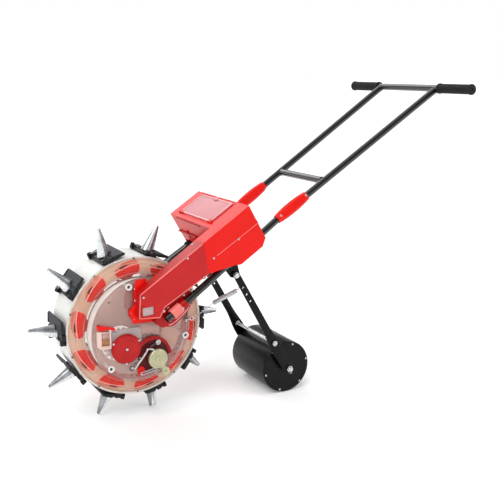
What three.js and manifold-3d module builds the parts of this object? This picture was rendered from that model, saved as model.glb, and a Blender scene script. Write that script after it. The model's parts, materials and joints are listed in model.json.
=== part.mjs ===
// Hand-pushed hole seeder: drum wheel with ten planting mouths, seed hopper, press roller and handle.
// Millimetres, +Z up, +X from the drum towards the handle. The drum turns about an axis along Y.
import * as THREE from "three";
import { mergeVertices } from "three/addons/utils/BufferGeometryUtils.js";
import Module from "manifold-3d";

const wasm = await Module();
wasm.setup();

const DEG = Math.PI / 180;
const GAP = 0.3; // clearance between pieces that touch

// Driving dimensions of the drum, measured from its axle.
const MOUTHS = 10;
const PITCH_ANGLE = 360 / MOUTHS;
const DRUM_R = 205;
const DRUM_HALF = 66;
const TIP_R = 298.5;
const TREAD_WALL = 6;
const COVER_WALL = 3;
const HINGE_R = 213.5; // radius at which the mouths' hinge pins lie
const AJAR_MOUTH = 7; // this mouth, counted from one, stands ajar
const AJAR_ANGLE = 9;

// The stationary core inside the drum.
const CORE_R = 147;
const CORE_FACE = 112; // distance of a core plate's inner face from the middle plane
const PLATE_WALL = 3;
const TIE_R = 137.6;
const TIE_ANGLES = [105.6, 225.6, 345.6];

// The metering train: ring gear, idler and metering roller.
const GEAR_MODULE = 5;
const RING_TEETH = 60;
const IDLER_TEETH = 22;
const ROLLER_TEETH = 18;
const IDLER_ANGLE = -65.1;
const GEAR_FRONT = -76;
const GEAR_BACK = -65;

// The handle frame rises at this angle from the axle.
const SLOPE = 32.885;
const TUBE_R = 11;
const TUBE_BORE = 9.4;
const LOWER_START = { u: 73, y: 161 };
const COUPLER_START = { u: 520.5, y: 124.8 };
const COUPLER_END = { u: 650, y: 128.1 };
const MID_BAR = { u: 717, y: 129.7 };
const TOP_BAR = { u: 1221, y: 142 };
const HANDLE_HALF = 303;
const GRIP_LENGTH = 148;

// Press roller and its arms.
const ROLLER_R = 83.2;
const ROLLER_HALF = 106.4;
const ARM_Y = 120.3;
const PIVOT = { x: 298.9, z: 126.3 };
const ROLLER_X = 487.7;
const GROUND_Z = -TIP_R * Math.cos((PITCH_ANGLE / 2) * DEG);
const ROLLER_Z = GROUND_Z + ROLLER_R;

// Hopper, in the frame's own directions: u up the slope, v square to it.
const HOPPER_HALF = 166.7;
const HOOD_IN = -113;
const LID_V = 113;
const HOPPER_WALL = 3;
const WINDOW = { u0: 353, u1: 440, y0: -86, y1: 119 };

const finish = (color, roughness, metalness = 0) =>
  new THREE.MeshStandardMaterial({ color, roughness, metalness });
const clearPlastic = new THREE.MeshStandardMaterial({
  color: 0xd9b9a8,
  roughness: 0.15,
  transparent: true,
  opacity: 0.4,
});
const whitePlastic = finish(0xf2f0ec, 0.5);
const redPlastic = finish(0xe0281a, 0.35);
const darkRedPlastic = finish(0xa81216, 0.4);
const blackPlastic = finish(0x2b2c2e, 0.6);
const blackEnamel = finish(0x141414, 0.25);
const steel = finish(0xc9cbcc, 0.3, 0.9);
const zinc = finish(0xc8caa0, 0.35, 0.8);
const greyPlastic = finish(0x8f9296, 0.5);

// ---------- shape helpers ----------

// The closed surface of a geometry as a solid that can be joined and cut.
function solid(geometry) {
  const loose = geometry.index ? geometry.toNonIndexed() : geometry;
  const bare = new THREE.BufferGeometry();
  bare.setAttribute("position", loose.getAttribute("position"));
  const merged = mergeVertices(bare, 1e-4);
  const triVerts = new Uint32Array(merged.index.array);
  const vertProperties = new Float32Array(merged.attributes.position.array);
  return new wasm.Manifold(new wasm.Mesh({ numProp: 3, vertProperties, triVerts }));
}

function geometryOf(body) {
  const { vertProperties, triVerts } = body.getMesh();
  const indexed = new THREE.BufferGeometry();
  indexed.setAttribute("position", new THREE.BufferAttribute(vertProperties, 3));
  indexed.setIndex(new THREE.BufferAttribute(triVerts, 1));
  const flat = indexed.toNonIndexed();
  flat.computeVertexNormals();
  return flat;
}

const join = (...parts) => parts.map(solid).reduce((all, part) => all.add(part));
const cut = (body, ...tools) => tools.map(solid).reduce((left, tool) => left.subtract(tool), body);

// A box between two corners.
function block([x0, y0, z0], [x1, y1, z1]) {
  const box = new THREE.BoxGeometry(x1 - x0, y1 - y0, z1 - z0);
  return box.translate((x0 + x1) / 2, (y0 + y1) / 2, (z0 + z1) / 2);
}

// A flat outline in the X-Z plane, thick from y0 to y1.
function plate(outline, y0, y1, curveSegments = 6) {
  const corners = () => outline.map(([x, z]) => new THREE.Vector2(x, z));
  const shape = outline instanceof THREE.Shape ? outline : new THREE.Shape(corners());
  const body = new THREE.ExtrudeGeometry(shape, { depth: y1 - y0, bevelEnabled: false, curveSegments });
  return body.rotateX(Math.PI / 2).translate(0, y1, 0);
}

// A cylinder along Y.
function disc(x, z, radius, y0, y1, sides = 16) {
  const body = new THREE.CylinderGeometry(radius, radius, y1 - y0, sides);
  return body.translate(x, (y0 + y1) / 2, z);
}

const turnFromY = (unit) => new THREE.Quaternion().setFromUnitVectors(new THREE.Vector3(0, 1, 0), unit);

// A cylinder between two points.
function bar(from, to, radius, sides = 14) {
  const a = new THREE.Vector3(...from);
  const b = new THREE.Vector3(...to);
  const along = b.clone().sub(a);
  const body = new THREE.CylinderGeometry(radius, radius, along.length(), sides);
  body.applyQuaternion(turnFromY(along.clone().normalize()));
  const middle = a.lerp(b, 0.5);
  return body.translate(middle.x, middle.y, middle.z);
}

// A ring about the Y axis from a closed section of [radius, y] points.
function ring(section, segments) {
  const next = (i) => section[(i + 1) % section.length];
  const area = section.reduce((sum, [r, y], i) => sum + r * next(i)[1] - next(i)[0] * y, 0);
  const loop = area > 0 ? section : [...section].reverse();
  const points = [...loop, loop[0]].map(([r, y]) => new THREE.Vector2(r, y));
  return new THREE.LatheGeometry(points, segments);
}

// A closed skin over equal rings of points, with fan caps on its first and last ring.
function loft(rings) {
  const count = rings[0].length;
  const positions = rings.flat().flatMap((p) => p);
  const index = [];
  for (let level = 0; level < rings.length - 1; level++) {
    for (let i = 0; i < count; i++) {
      const j = (i + 1) % count;
      const low = level * count;
      const high = low + count;
      index.push(low + i, low + j, high + j, low + i, high + j, high + i);
    }
  }
  const top = (rings.length - 1) * count;
  for (let i = 1; i < count - 1; i++) {
    index.push(0, i + 1, i, top, top + i, top + i + 1);
  }
  const skin = new THREE.BufferGeometry();
  skin.setAttribute("position", new THREE.Float32BufferAttribute(positions, 3));
  skin.setIndex(index);
  return skin;
}

const ordered = (a, b) => (a < b ? [a, b] : [b, a]);
const onCircle = (radius, angle) => [radius * Math.cos(angle * DEG), radius * Math.sin(angle * DEG)];

// A point given by its place up the slope, across, and square to the slope.
function onSlope(u, y, v = 0) {
  const c = Math.cos(SLOPE * DEG);
  const s = Math.sin(SLOPE * DEG);
  return [u * c - v * s, y, u * s + v * c];
}

const axleFrame = new THREE.Group();

function place(name, body, material, parent = axleFrame) {
  const mesh = new THREE.Mesh(body.isBufferGeometry ? body : geometryOf(body), material);
  mesh.name = name;
  parent.add(mesh);
  return mesh;
}

// A group whose X runs up the slope and whose Z is square to it.
const slopeFrame = new THREE.Group();
slopeFrame.rotation.y = -SLOPE * DEG;
axleFrame.add(slopeFrame);

// A ring turned half round the X axis, for the far side.
function farSide(geometry) {
  return geometry.clone().rotateX(Math.PI);
}

// ---------- rotating drum ----------

const TREAD_SEGMENTS = 40;
const WINDOW_HALF = { x: 16, y: 15 };

function treadRim() {
  const edge = DRUM_HALF - COVER_WALL - GAP;
  const inside = DRUM_R - TREAD_WALL;
  const wall = [[inside, -edge], [DRUM_R, -edge], [DRUM_R, edge], [inside, edge]];
  let body = solid(ring(wall, TREAD_SEGMENTS));
  for (let i = 0; i < MOUTHS; i++) {
    const { x, y } = WINDOW_HALF;
    const opening = block([-x, -y, inside - 8], [x, y, DRUM_R + 8]);
    body = cut(body, opening.rotateY(-mouthAngle(i) * DEG + Math.PI / 2));
  }
  return body;
}

// The mouths' angles, anticlockwise seen from the near side.
function mouthAngle(i) {
  return 72 + PITCH_ANGLE * i;
}

function drumCover() {
  const outside = [[DRUM_R, -DRUM_HALF], [196.5, -DRUM_HALF], [184, -77], [160, -81]];
  const inside = [[160, -77.5], [182.5, -73.7], [193.5, -63], [DRUM_R, -63]];
  return ring([...outside, ...inside], 32);
}

// One moulded seed guide: a pocket open towards the axle, curved on its trailing side.
function seedGuide() {
  const wall = 3;
  const half = 54;
  const outer = [[-9, 194], [-11, 160], [4, 153], [22, 156], [46, 167], [60, 182], [30, 193]];
  const hollow = [[-9 + wall, 191], [-11 + wall, 148], [24, 144], [44, 170], [50, 180], [28, 190]];
  return cut(solid(plate(outer, -half, half)), plate(hollow, wall - half, half - wall));
}

function seedGuideRing() {
  const hoop = ring([[186, -57], [192, -57], [192, -53], [186, -53]], 20);
  const farHoop = farSide(hoop);
  const guide = seedGuide();
  const turned = (i) => guide.rotate([0, 90 - mouthAngle(i), 0]);
  let body = join(hoop, farHoop);
  for (let i = 0; i < MOUTHS; i++) body = body.add(turned(i));
  return body;
}

// Trapezoidal teeth around a circle, each a little narrower than its space so that the mesh runs free.
function toothOutline(teeth, phase, tipShift, rootShift) {
  const radius = (GEAR_MODULE * teeth) / 2;
  const pitch = 360 / teeth;
  const points = [];
  for (let i = 0; i < teeth; i++) {
    const middle = phase + i * pitch;
    points.push(onCircle(radius + rootShift, middle - pitch * 0.33));
    points.push(onCircle(radius + tipShift, middle - pitch * 0.12));
    points.push(onCircle(radius + tipShift, middle + pitch * 0.12));
    points.push(onCircle(radius + rootShift, middle + pitch * 0.33));
  }
  return points;
}

const ADDENDUM = GEAR_MODULE * 0.9;
const DEDENDUM = GEAR_MODULE * 1.2;

function ringGear() {
  const shape = new THREE.Shape().absarc(0, 0, 163, 0, 2 * Math.PI);
  const phase = IDLER_ANGLE + 180 / RING_TEETH;
  const inner = toothOutline(RING_TEETH, phase, -ADDENDUM, DEDENDUM);
  shape.holes.push(new THREE.Path(inner.map(([x, z]) => new THREE.Vector2(x, z))));
  return plate(shape, GEAR_FRONT, GEAR_BACK, 20);
}

// Half of a conical beak: side -1 is the fixed leading half, side 1 the moving trailing half.
function beakHalf(side, base, tip) {
  const levels = [[0, 20, 17], [1, 1.6, 2.2]];
  const steps = 4;
  const split = GAP * side;
  const section = (rx, ry, z, reach) => {
    const points = [];
    for (let k = 0; k <= steps; k++) {
      const angle = -90 + (180 * k) / steps;
      points.push([split + side * rx * Math.cos(angle * DEG), side * ry * Math.sin(angle * DEG), z]);
    }
    return reach ? [[-side * reach, -side * ry, z], ...points, [-side * reach, side * ry, z]] : points;
  };
  const height = tip - base;
  const shell = 1.8;
  const outer = loft(levels.map(([t, rx, ry]) => section(rx, ry, base + t * height)));
  const hollow = loft([
    section(20 - shell, 17 - shell, base - 0.5, 4),
    section(1.2, 1.2, base + 0.8 * height, 4),
  ]);
  return cut(solid(outer), hollow);
}

// Fixed half of a mouth, standing on the tread with Z outwards and X trailing.
function mouthBody() {
  const foot = DRUM_R + 0.6;
  const base = block([-27, -64, foot], [-5.4, 64, HINGE_R]);
  const neck = block([-14, -13, 195], [14, 13, foot + 0.4]);
  const nearEar = block([-14, -66, foot], [4.5, -58, HINGE_R + 5.5]);
  const farEar = block([-14, 58, foot], [4.5, 66, HINGE_R + 5.5]);
  const throat = block([-11.5, -10.5, 190], [11.5, 10.5, HINGE_R + 0.5]);
  const pin = bar([0, -65, HINGE_R], [0, 65, HINGE_R], 2.1, 5);
  const beak = beakHalf(-1, HINGE_R - 0.6, TIP_R);
  return cut(join(base, neck, nearEar, farEar), throat).add(beak).add(solid(pin));
}

// Moving half of a mouth: the beak, the press pad behind it and the barrels on the hinge pin.
function mouthFlap() {
  const pad = plate([[7.6, 210], [43, 212], [43, 217.2], [7.6, 217.2]], -DRUM_HALF, DRUM_HALF);
  const web = block([3.2, -56.8, 210], [8.2, 56.8, 217]);
  const nearBarrel = disc(0, HINGE_R, 4.8, -56.8, -24, 6);
  const farBarrel = disc(0, HINGE_R, 4.8, 24, 56.8, 6);
  const bore = disc(0, HINGE_R, 2.9, -58, 58, 6);
  const beak = beakHalf(1, HINGE_R + 2.6, TIP_R - 4);
  return cut(join(pad, web, nearBarrel, farBarrel), bore).add(beak);
}

const two = (i) => String(i + 1).padStart(2, "0");

function addMouths() {
  const bodyGeometry = geometryOf(mouthBody());
  const flapGeometry = geometryOf(mouthFlap());
  for (let i = 0; i < MOUTHS; i++) {
    const station = new THREE.Group();
    station.rotation.y = (90 - mouthAngle(i)) * DEG;
    axleFrame.add(station);
    place("mouth_" + two(i), bodyGeometry, blackPlastic, station);
    const hinge = new THREE.Group();
    hinge.position.z = HINGE_R;
    hinge.rotation.y = i + 1 === AJAR_MOUTH ? AJAR_ANGLE * DEG : 0;
    station.add(hinge);
    const flap = place("flap_" + two(i), flapGeometry, steel, hinge);
    flap.position.z = -HINGE_R;
  }
}

// ---------- stationary core ----------

const bandSection = [
  [CORE_R, -109.4],
  [156, -85],
  [158.2, -78],
  [143, -78],
  [152, -81.5],
  [143.5, -109.4],
];

const idlerCentre = onCircle((GEAR_MODULE * (RING_TEETH - IDLER_TEETH)) / 2, IDLER_ANGLE);
const rollerDirection = 155.6; // from the idler's centre to the metering roller's
const rollerStep = onCircle((GEAR_MODULE * (IDLER_TEETH + ROLLER_TEETH)) / 2, rollerDirection);
const rollerCentre = [idlerCentre[0] + rollerStep[0], idlerCentre[1] + rollerStep[1]];

const chuteMouth = { x0: -8, x1: 34, z0: 52, z1: 92 };
const seedWindow = { x0: -135, x1: -95, z0: -32, z1: 20 };

// Holes for the tie bolts through a core plate.
function tieHoles(y0, y1, radius) {
  return TIE_ANGLES.map((angle) => disc(...onCircle(TIE_R, angle), radius, y0, y1, 8));
}

function frontCorePlate() {
  const back = -CORE_FACE + PLATE_WALL - 0.7;
  const sheet = disc(0, 0, CORE_R, -CORE_FACE, back, 40);
  const { x0, x1, z0, z1 } = chuteMouth;
  const y0 = -CORE_FACE - 2;
  const y1 = back + 2;
  const seedHole = block([x0, y0, z0], [x1, y1, z1]);
  const housingHole = disc(...rollerCentre, 36, y0, y1, 20);
  const shaftHole = disc(...idlerCentre, 6.5, y0, y1, 10);
  const w = seedWindow;
  const lookThrough = block([w.x0 + 5, y0, w.z0 + 5], [w.x1 - 5, y1, w.z1 - 5]);
  return cut(solid(sheet), seedHole, housingHole, shaftHole, lookThrough, ...tieHoles(y0, y1, 4.6));
}

function rearCorePlate() {
  const sheet = disc(0, 0, CORE_R, CORE_FACE - PLATE_WALL + 0.7, CORE_FACE, 40);
  return cut(solid(sheet), ...tieHoles(CORE_FACE - PLATE_WALL - 2, CORE_FACE + 2, 4.6));
}

// A long bolt through both core plates, with a boss on each outer face.
function tieBolt(angle) {
  const [x, z] = onCircle(TIE_R, angle);
  const face = CORE_FACE + GAP;
  const socket = 4;
  const bolt = join(
    disc(x, z, 4, -face - 2, face + 2, 8),
    disc(x, z, 10, -face - 7, -face, 12),
    disc(x, z, 10, face, face + 7, 12),
  );
  const sockets = [[-face - 9, -face - 4], [face + 4, face + 9]];
  return cut(bolt, ...sockets.map(([y0, y1]) => disc(x, z, socket, y0, y1, 6)));
}

function meteringHousing() {
  const [x, z] = rollerCentre;
  const cup = disc(x, z, 34.5, -CORE_FACE - 1, -77.5, 20);
  const inside = disc(x, z, 30.5, -CORE_FACE - 10, -80.5, 20);
  const outline = [[-93, 9], [-52, 14], [-4, 12], [-2, -42], [-6, -88], [-60, -96], [-93, -60]];
  const face = plate(outline, -115.5, -112.3);
  const inlet = block([x - 12, -105, z + 20], [x + 12, -86, z + 40]);
  const outlet = block([x - 12, -105, z - 40], [x + 12, -86, z - 20]);
  const shaftHole = disc(x, z, 6.5, -82, -70, 10);
  return cut(join(cup, face), inside, inlet, outlet, shaftHole);
}

function meteringCap() {
  const [x, z] = rollerCentre;
  return join(disc(x, z, 43, -123, -115.8, 24), disc(x, z, 40, -126, -122, 24));
}

// Seed roller with three cells and the gear on its inner end.
function meteringRoller() {
  const [x, z] = rollerCentre;
  const offset = nearestTooth();
  const phase = rollerDirection + 180 - (offset * IDLER_TEETH) / ROLLER_TEETH + 180 / ROLLER_TEETH;
  const teeth = toothOutline(ROLLER_TEETH, phase, ADDENDUM, -DEDENDUM);
  const gear = plate(teeth, GEAR_FRONT, GEAR_BACK).translate(x, 0, z);
  const drum = disc(x, z, 28, -111, -82, 24);
  const shaft = disc(x, z, 5.5, -83, -70, 10);
  const cells = [90, 210, 330].map((angle) => {
    const [cx, cz] = onCircle(28, angle);
    return disc(x + cx, z + cz, 7, -102, -90, 10);
  });
  return cut(join(gear, drum, shaft), ...cells);
}

// Angle from the line of centres to the idler's nearest tooth.
function nearestTooth() {
  const pitch = 360 / IDLER_TEETH;
  const steps = Math.round((rollerDirection - IDLER_ANGLE) / pitch);
  return IDLER_ANGLE + steps * pitch - rollerDirection;
}

// Idler between the ring gear and the metering roller, with the plated knob on its outer end.
function idlerGear() {
  const [x, z] = idlerCentre;
  const teeth = toothOutline(IDLER_TEETH, IDLER_ANGLE, ADDENDUM, -DEDENDUM);
  const gear = plate(teeth, GEAR_FRONT, GEAR_BACK).translate(x, 0, z);
  const shaft = disc(x, z, 5.5, -124, GEAR_FRONT + 2, 10);
  const knob = disc(x, z, 28, -132, -123, 28);
  const boss = disc(x, z, 9, -134.5, -131, 14);
  return join(gear, shaft, knob, boss);
}

// Crescent guard round the knob, with a foot at its lower left.
function idlerCover() {
  const [x, z] = idlerCentre;
  const shape = new THREE.Shape();
  shape.absarc(x, z, 61, -14 * DEG, 222 * DEG, false);
  shape.lineTo(x - 58, z - 44);
  shape.lineTo(x - 30, z - 40);
  shape.absarc(x, z, 33, 222 * DEG, -14 * DEG, true);
  shape.closePath();
  const guard = plate(shape, -121, -112.3);
  const capRoom = disc(...rollerCentre, 43.6, -125, -115.4, 28);
  const faceRoom = block([-110, -115.9, -110], [-1.4, -111, 30]);
  return cut(solid(guard), capRoom, faceRoom);
}

// Bent steel wire of round section along a smooth path.
function wire(points, radius, steps) {
  const path = new THREE.CatmullRomCurve3(points.map((p) => new THREE.Vector3(...p)), false, "centripetal");
  const section = new THREE.Shape();
  for (let i = 0; i < 8; i++) {
    const [x, y] = onCircle(radius, 45 * i);
    if (i) section.lineTo(x, y);
    else section.moveTo(x, y);
  }
  section.closePath();
  return new THREE.ExtrudeGeometry(section, { steps, extrudePath: path, bevelEnabled: false });
}

function wireLever() {
  const route = [[26, -123.6, -52], [24, -127, -53], [14, -128, -51], [6, -128.5, -58]];
  route.push([-14, -129.5, -84], [-30, -129.5, -103], [-40, -129.5, -107]);
  return wire(route, 2.2, 16);
}

function seedWindowBox() {
  const { x0, x1, z0, z1 } = seedWindow;
  const box = block([x0, -126, z0], [x1, -112.3, z1]);
  const inside = block([x0 + 2.5, -123.5, z0 + 2.5], [x1 - 2.5, -110, z1 - 2.5]);
  return cut(solid(box), inside);
}

function seedWindowFlap() {
  const { x0, x1, z1 } = seedWindow;
  const outline = [[x0 + 3, z1 + 1], [x1 + 12, z1 - 4], [x1 + 13, z1 + 1]];
  outline.push([x0 + 8, z1 + 15], [x0 + 1, z1 + 13]);
  const tongue = plate(outline, -125, -112.3);
  const room = block([x0 - GAP, -127, z1 - 20], [x1 + GAP, -111, z1 + GAP]);
  return cut(solid(tongue), room);
}

// ---------- seed chute and hopper ----------

const foldTop = onSlope(277, 0, LID_V);
const foldBottom = onSlope(241, 0, 28);
const chuteSide = [
  [foldTop[0], foldTop[2]],
  [-16, 116],
  [-20, 46],
  [40, 42],
  [54, 71],
  [166, 141],
  [foldBottom[0], foldBottom[2]],
];
const chuteFlange = [
  [-12, 134],
  [-24, 122],
  [-26, 74],
  [-40, 66],
  [-40, 50],
  [-27, 30],
  [54, 30],
  [66, 62],
  [30, 80],
];
const CHUTE_LOW_Y = -148;
const CHUTE_BACK = -113;

// Moves the near face of an upright prism so that it stands further out towards the hopper.
function taper(geometry, inset) {
  const place = geometry.getAttribute("position");
  for (let i = 0; i < place.count; i++) {
    if (place.getY(i) > CHUTE_BACK - 8) continue;
    const share = THREE.MathUtils.clamp((place.getX(i) + 20) / (foldTop[0] + 20), 0, 1.1);
    place.setY(i, THREE.MathUtils.lerp(CHUTE_LOW_Y, -HOPPER_HALF, share) + inset);
  }
  return geometry;
}

function seedChute() {
  const shell = taper(plate(chuteSide, -150, CHUTE_BACK + 0.4), 0);
  const flange = plate(chuteFlange, -119, CHUTE_BACK + 0.4);
  const room = [[196, 262], [168, 238], [-13, 113.5], [-17, 49], [38, 45], [52, 74]];
  room.push([164, 144.4], [200, 158]);
  const inside = taper(plate(room, -150, -116), 3);
  const { x0, x1, z0, z1 } = chuteMouth;
  const outlet = block([x0, -125, z0], [x1, -108, z1]);
  const fold = foldCutter(HOPPER_HALF + 10);
  const window = block([-13, -170, 52], [24, -140, 78]);
  return cut(join(shell, flange), inside, outlet, fold, window);
}

// Everything behind the fold line, where the chute meets the hopper's hood.
function foldCutter(half) {
  const [ax, , az] = onSlope(277 + 3.6, 0, LID_V + 8.5);
  const [bx, , bz] = onSlope(241 - 6.8, 0, 28 - 16);
  const back = GAP + 0.1;
  return plate([[ax - back, az], [bx - back, bz], [bx + 60, bz], [ax + 60, az]], -half, -100);
}

function hopperBody() {
  const half = HOPPER_HALF;
  const inner = half - HOPPER_WALL;
  const side = [[332, LID_V], [325, -8], [339, -16], [423, -16], [445, 0], [452, LID_V]];
  const main = plate(side, -half, half);
  const hood = plate([[277, LID_V], [241, 28], [320, -5], [340, -10], [340, LID_V]], -half, HOOD_IN);
  const rim = plate([[442, 52], [462, 52], [462, 58], [442, 58]], -60, 60);
  const tank = plate([[336, 110], [334, 20], [441, 20], [448.5, 110]], -inner, inner);
  const well = plate([[334, 22], [338, -4], [346, -13], [420, -13], [440, 1], [441, 22]], -112, 112);
  const hoodInside = [[272, 110], [238, 32], [320, 6], [338, 20], [338, 110]];
  const hoodRoom = plate(hoodInside, -inner, HOOD_IN - HOPPER_WALL);
  const opening = block([WINDOW.u0, WINDOW.y0, 100], [WINDOW.u1, WINDOW.y1, 120]);
  const channels = [-1, 1].map(tubeChannel);
  const skirts = [-1, 1].map((sign) => {
    const [y0, y1] = ordered(sign * 116, sign * inner);
    return plate([[318, -20], [324, 12.5], [446, 12.5], [450, -20]], y0, y1);
  });
  const bracketRooms = [-1, 1].map((sign) => {
    const [y0, y1] = ordered(sign * 104, sign * 158);
    return block([296, y0, -30], [358, y1, 15]);
  });
  const beyondFold = [[230, LID_V + 20], [277 + 8.4, LID_V + 20], [241 - 8.4, 8], [200, 8]];
  const rooms = [tank, well, hoodRoom, opening, ...channels, ...skirts, ...bracketRooms];
  return cut(join(main, hood, rim), ...rooms, plate(beyondFold, -180, -100));
}

// Room for a lower tube under the hopper.
function tubeChannel(side) {
  const from = [200, side * lowerTubeY(200), 0];
  const to = [500, side * lowerTubeY(500), 0];
  return bar(from, to, TUBE_R + 4, 14);
}

const lowerTubeY = (u) =>
  THREE.MathUtils.mapLinear(u, LOWER_START.u, COUPLER_START.u, LOWER_START.y, COUPLER_START.y);

// Clear lid over the filling opening, hinged at its front edge, with a latch tab at the back.
function hopperLid() {
  const v0 = LID_V + 0.9;
  const { u0, u1, y0, y1 } = WINDOW;
  const sheet = block([u0 - 3, y0 - 3, v0], [u1 + 3, y1 + 3, v0 + 2.6]);
  const middle = (y0 + y1) / 2;
  const latch = block([u1 - 8, middle - 12, v0 + 2], [u1 + 6, middle + 12, v0 + 6]);
  const lugs = [y0 + 4, y1 - 4].map((y) => block([u0 - 4, y - 7, v0], [u0 + 3, y + 7, v0 + 4.6]));
  return join(sheet, latch, ...lugs);
}

// ---------- frame ----------

// A straight tube open at both ends.
function tube(from, to) {
  const a = new THREE.Vector3(...from);
  const b = new THREE.Vector3(...to);
  const over = b.clone().sub(a).normalize();
  const c = a.clone().sub(over);
  const d = b.clone().add(over);
  return cut(solid(bar(from, to, TUBE_R)), bar(c.toArray(), d.toArray(), TUBE_BORE));
}

const COUPLER_SOCKET = 52; // how deep the lower tube goes into its coupler

function lowerTube(side) {
  const end = COUPLER_START.u + COUPLER_SOCKET;
  return tube([LOWER_START.u, side * LOWER_START.y, 0], [end, side * lowerTubeY(end), 0]);
}

// Boat-shaped base on the core plate with a saddle over the tube's end, for the near side.
function tubeClamp(side) {
  const shape = new THREE.Shape();
  shape.moveTo(58, -24);
  shape.lineTo(130, -24);
  shape.quadraticCurveTo(160, -20, 176, -2);
  shape.lineTo(172, 14);
  shape.lineTo(150, 24);
  shape.lineTo(70, 24);
  shape.quadraticCurveTo(40, 20, 40, 0);
  shape.quadraticCurveTo(40, -20, 58, -24);
  const face = CORE_FACE + GAP;
  const base = side < 0 ? plate(shape, -147, -face) : plate(shape, face, 147);
  const from = (u) => [u, side * lowerTubeY(u), 0];
  const saddle = bar(from(102), from(140), 15, 14);
  const [y0, y1] = ordered(side * 140, side * 152);
  const neck = block([102, y0, -15], [140, y1, 15]);
  const tubeRoom = bar(from(LOWER_START.u - GAP), from(240), TUBE_R + GAP, 14);
  const body = cut(join(base, saddle, neck), tubeRoom);
  return side < 0 ? body.subtract(chuteRoom()) : body;
}

// The space that the chute and its flange take, in the slope's directions.
function chuteRoom() {
  const lowered = chuteSide.map(([x, z]) => [x, z - 1.2]);
  const body = plate(lowered, -180, -100);
  const flange = plate(chuteFlange.map(([x, z]) => [x + 1.2, z + 0.4]), -120, -100);
  const flangeLow = plate(chuteFlange.map(([x, z]) => [x + 0.6, z - 0.6]), -120, -100);
  return join(body, flange, flangeLow).rotate([0, SLOPE, 0]);
}

// Fluted spindle that joins a lower tube to the upper handle.
function coupler(side) {
  const start = new THREE.Vector3(COUPLER_START.u, side * COUPLER_START.y, 0);
  const end = new THREE.Vector3(COUPLER_END.u, side * COUPLER_END.y, 0);
  const length = start.distanceTo(end);
  const around = 18;
  const stations = [[0, 15, 0], [0.3, 18.6, 1.2], [0.62, 19.2, 1.4], [1, 15.5, 0]];
  const rings = stations.map(([t, radius, flute]) => {
    const points = [];
    for (let i = 0; i < around; i++) {
      const r = radius - (i % 3 === 0 ? flute : 0);
      const [x, z] = onCircle(r, -(360 / around) * i);
      points.push([x, t * length, z]);
    }
    return points;
  });
  const along = end.clone().sub(start).normalize();
  const skin = loft(rings).applyQuaternion(turnFromY(along)).translate(start.x, start.y, start.z);
  const socketEnd = COUPLER_START.u + COUPLER_SOCKET + 2;
  const from = (u) => [u, side * lowerTubeY(u), 0];
  const socket = bar(from(COUPLER_START.u - 8), from(socketEnd), TUBE_R + GAP);
  const over = COUPLER_END.u + 8;
  const upper = bar(upperTubePoint(socketEnd - 2, side), upperTubePoint(over, side), TUBE_R + GAP);
  return cut(solid(skin), socket, upper);
}

function upperTubePoint(u, side) {
  const y = THREE.MathUtils.mapLinear(u, MID_BAR.u, TOP_BAR.u, MID_BAR.y, TOP_BAR.y);
  return [u, side * y, 0];
}

// Welded handle: two side tubes, a middle bar and the top bar that carries the grips.
function upperHandle() {
  const start = COUPLER_START.u + COUPLER_SOCKET + 6;
  const sides = [-1, 1].map((side) => [upperTubePoint(start, side), upperTubePoint(TOP_BAR.u, side)]);
  const middle = [[MID_BAR.u, -MID_BAR.y, 0], [MID_BAR.u, MID_BAR.y, 0]];
  const reach = HANDLE_HALF - 8;
  const top = [[TOP_BAR.u, -reach, 0], [TOP_BAR.u, reach, 0]];
  const bars = [...sides, middle, top].map(([a, b]) => bar(a, b, TUBE_R));
  const bores = sides.map(([a, b]) => {
    const before = [a[0] - 4, a[1], 0];
    return bar(before, b, TUBE_BORE, 10);
  });
  const topBore = bar([TOP_BAR.u, -reach - 4, 0], [TOP_BAR.u, reach + 4, 0], TUBE_BORE, 10);
  const midBore = bar(...middle, TUBE_BORE, 10);
  return cut(join(...bars), ...bores, topBore, midBore);
}

// Ribbed rubber grip with a flange at its inner end and a closed, flat outer end.
function grip(side) {
  const inner = HANDLE_HALF - GRIP_LENGTH;
  const section = [[TUBE_R + GAP, inner], [17, inner], [17, inner + 6], [15.3, inner + 8]];
  section.push([15.3, HANDLE_HALF - 9], [17, HANDLE_HALF - 7], [17, HANDLE_HALF - 2], [14, HANDLE_HALF]);
  section.push([3, HANDLE_HALF], [3, HANDLE_HALF - 6], [TUBE_R + GAP, HANDLE_HALF - 6]);
  const mirrored = section.map(([r, y]) => [r, side * y]);
  return ring(mirrored, 14).translate(TOP_BAR.u, 0, 0);
}

// Hanger under a lower tube that carries the press arm's pivot.
function armBracket(side) {
  const tubeU = 326;
  const [cx, , cz] = onSlope(tubeU, 0);
  const y = side * lowerTubeY(tubeU);
  const inner = ARM_Y - 6.2;
  const outer = inner - 4;
  const drop = [[cx - 14, cz - 22], [cx + 30, cz - 2], [PIVOT.x + 16, PIVOT.z + 4]];
  drop.push([PIVOT.x + 12, PIVOT.z - 13], [PIVOT.x - 14, PIVOT.z - 6]);
  const ear = side < 0 ? plate(drop, -inner, -outer) : plate(drop, outer, inner);
  const tubeEnd = (u) => {
    const [x, , z] = onSlope(u, 0);
    return [x, side * lowerTubeY(u), z];
  };
  const collar = bar(tubeEnd(tubeU - 16), tubeEnd(tubeU + 16), TUBE_R + 3.2);
  const [y0, y1] = ordered(side * outer, y);
  const strap = block([cx - 12, y0, cz - 22], [cx + 12, y1, cz - 8]);
  const pin = disc(PIVOT.x, PIVOT.z, 4.5, ...ordered(side * outer, side * (ARM_Y + 9)), 12);
  const head = disc(PIVOT.x, PIVOT.z, 8, ...ordered(side * (ARM_Y + 4), side * (ARM_Y + 9)), 6);
  const bore = bar(tubeEnd(tubeU - 30), tubeEnd(tubeU + 30), TUBE_R + GAP);
  return cut(join(ear, collar, strap), bore).add(join(pin, head));
}

// ---------- press roller ----------

const ROD = { x: 432, z: -107 };

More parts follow.
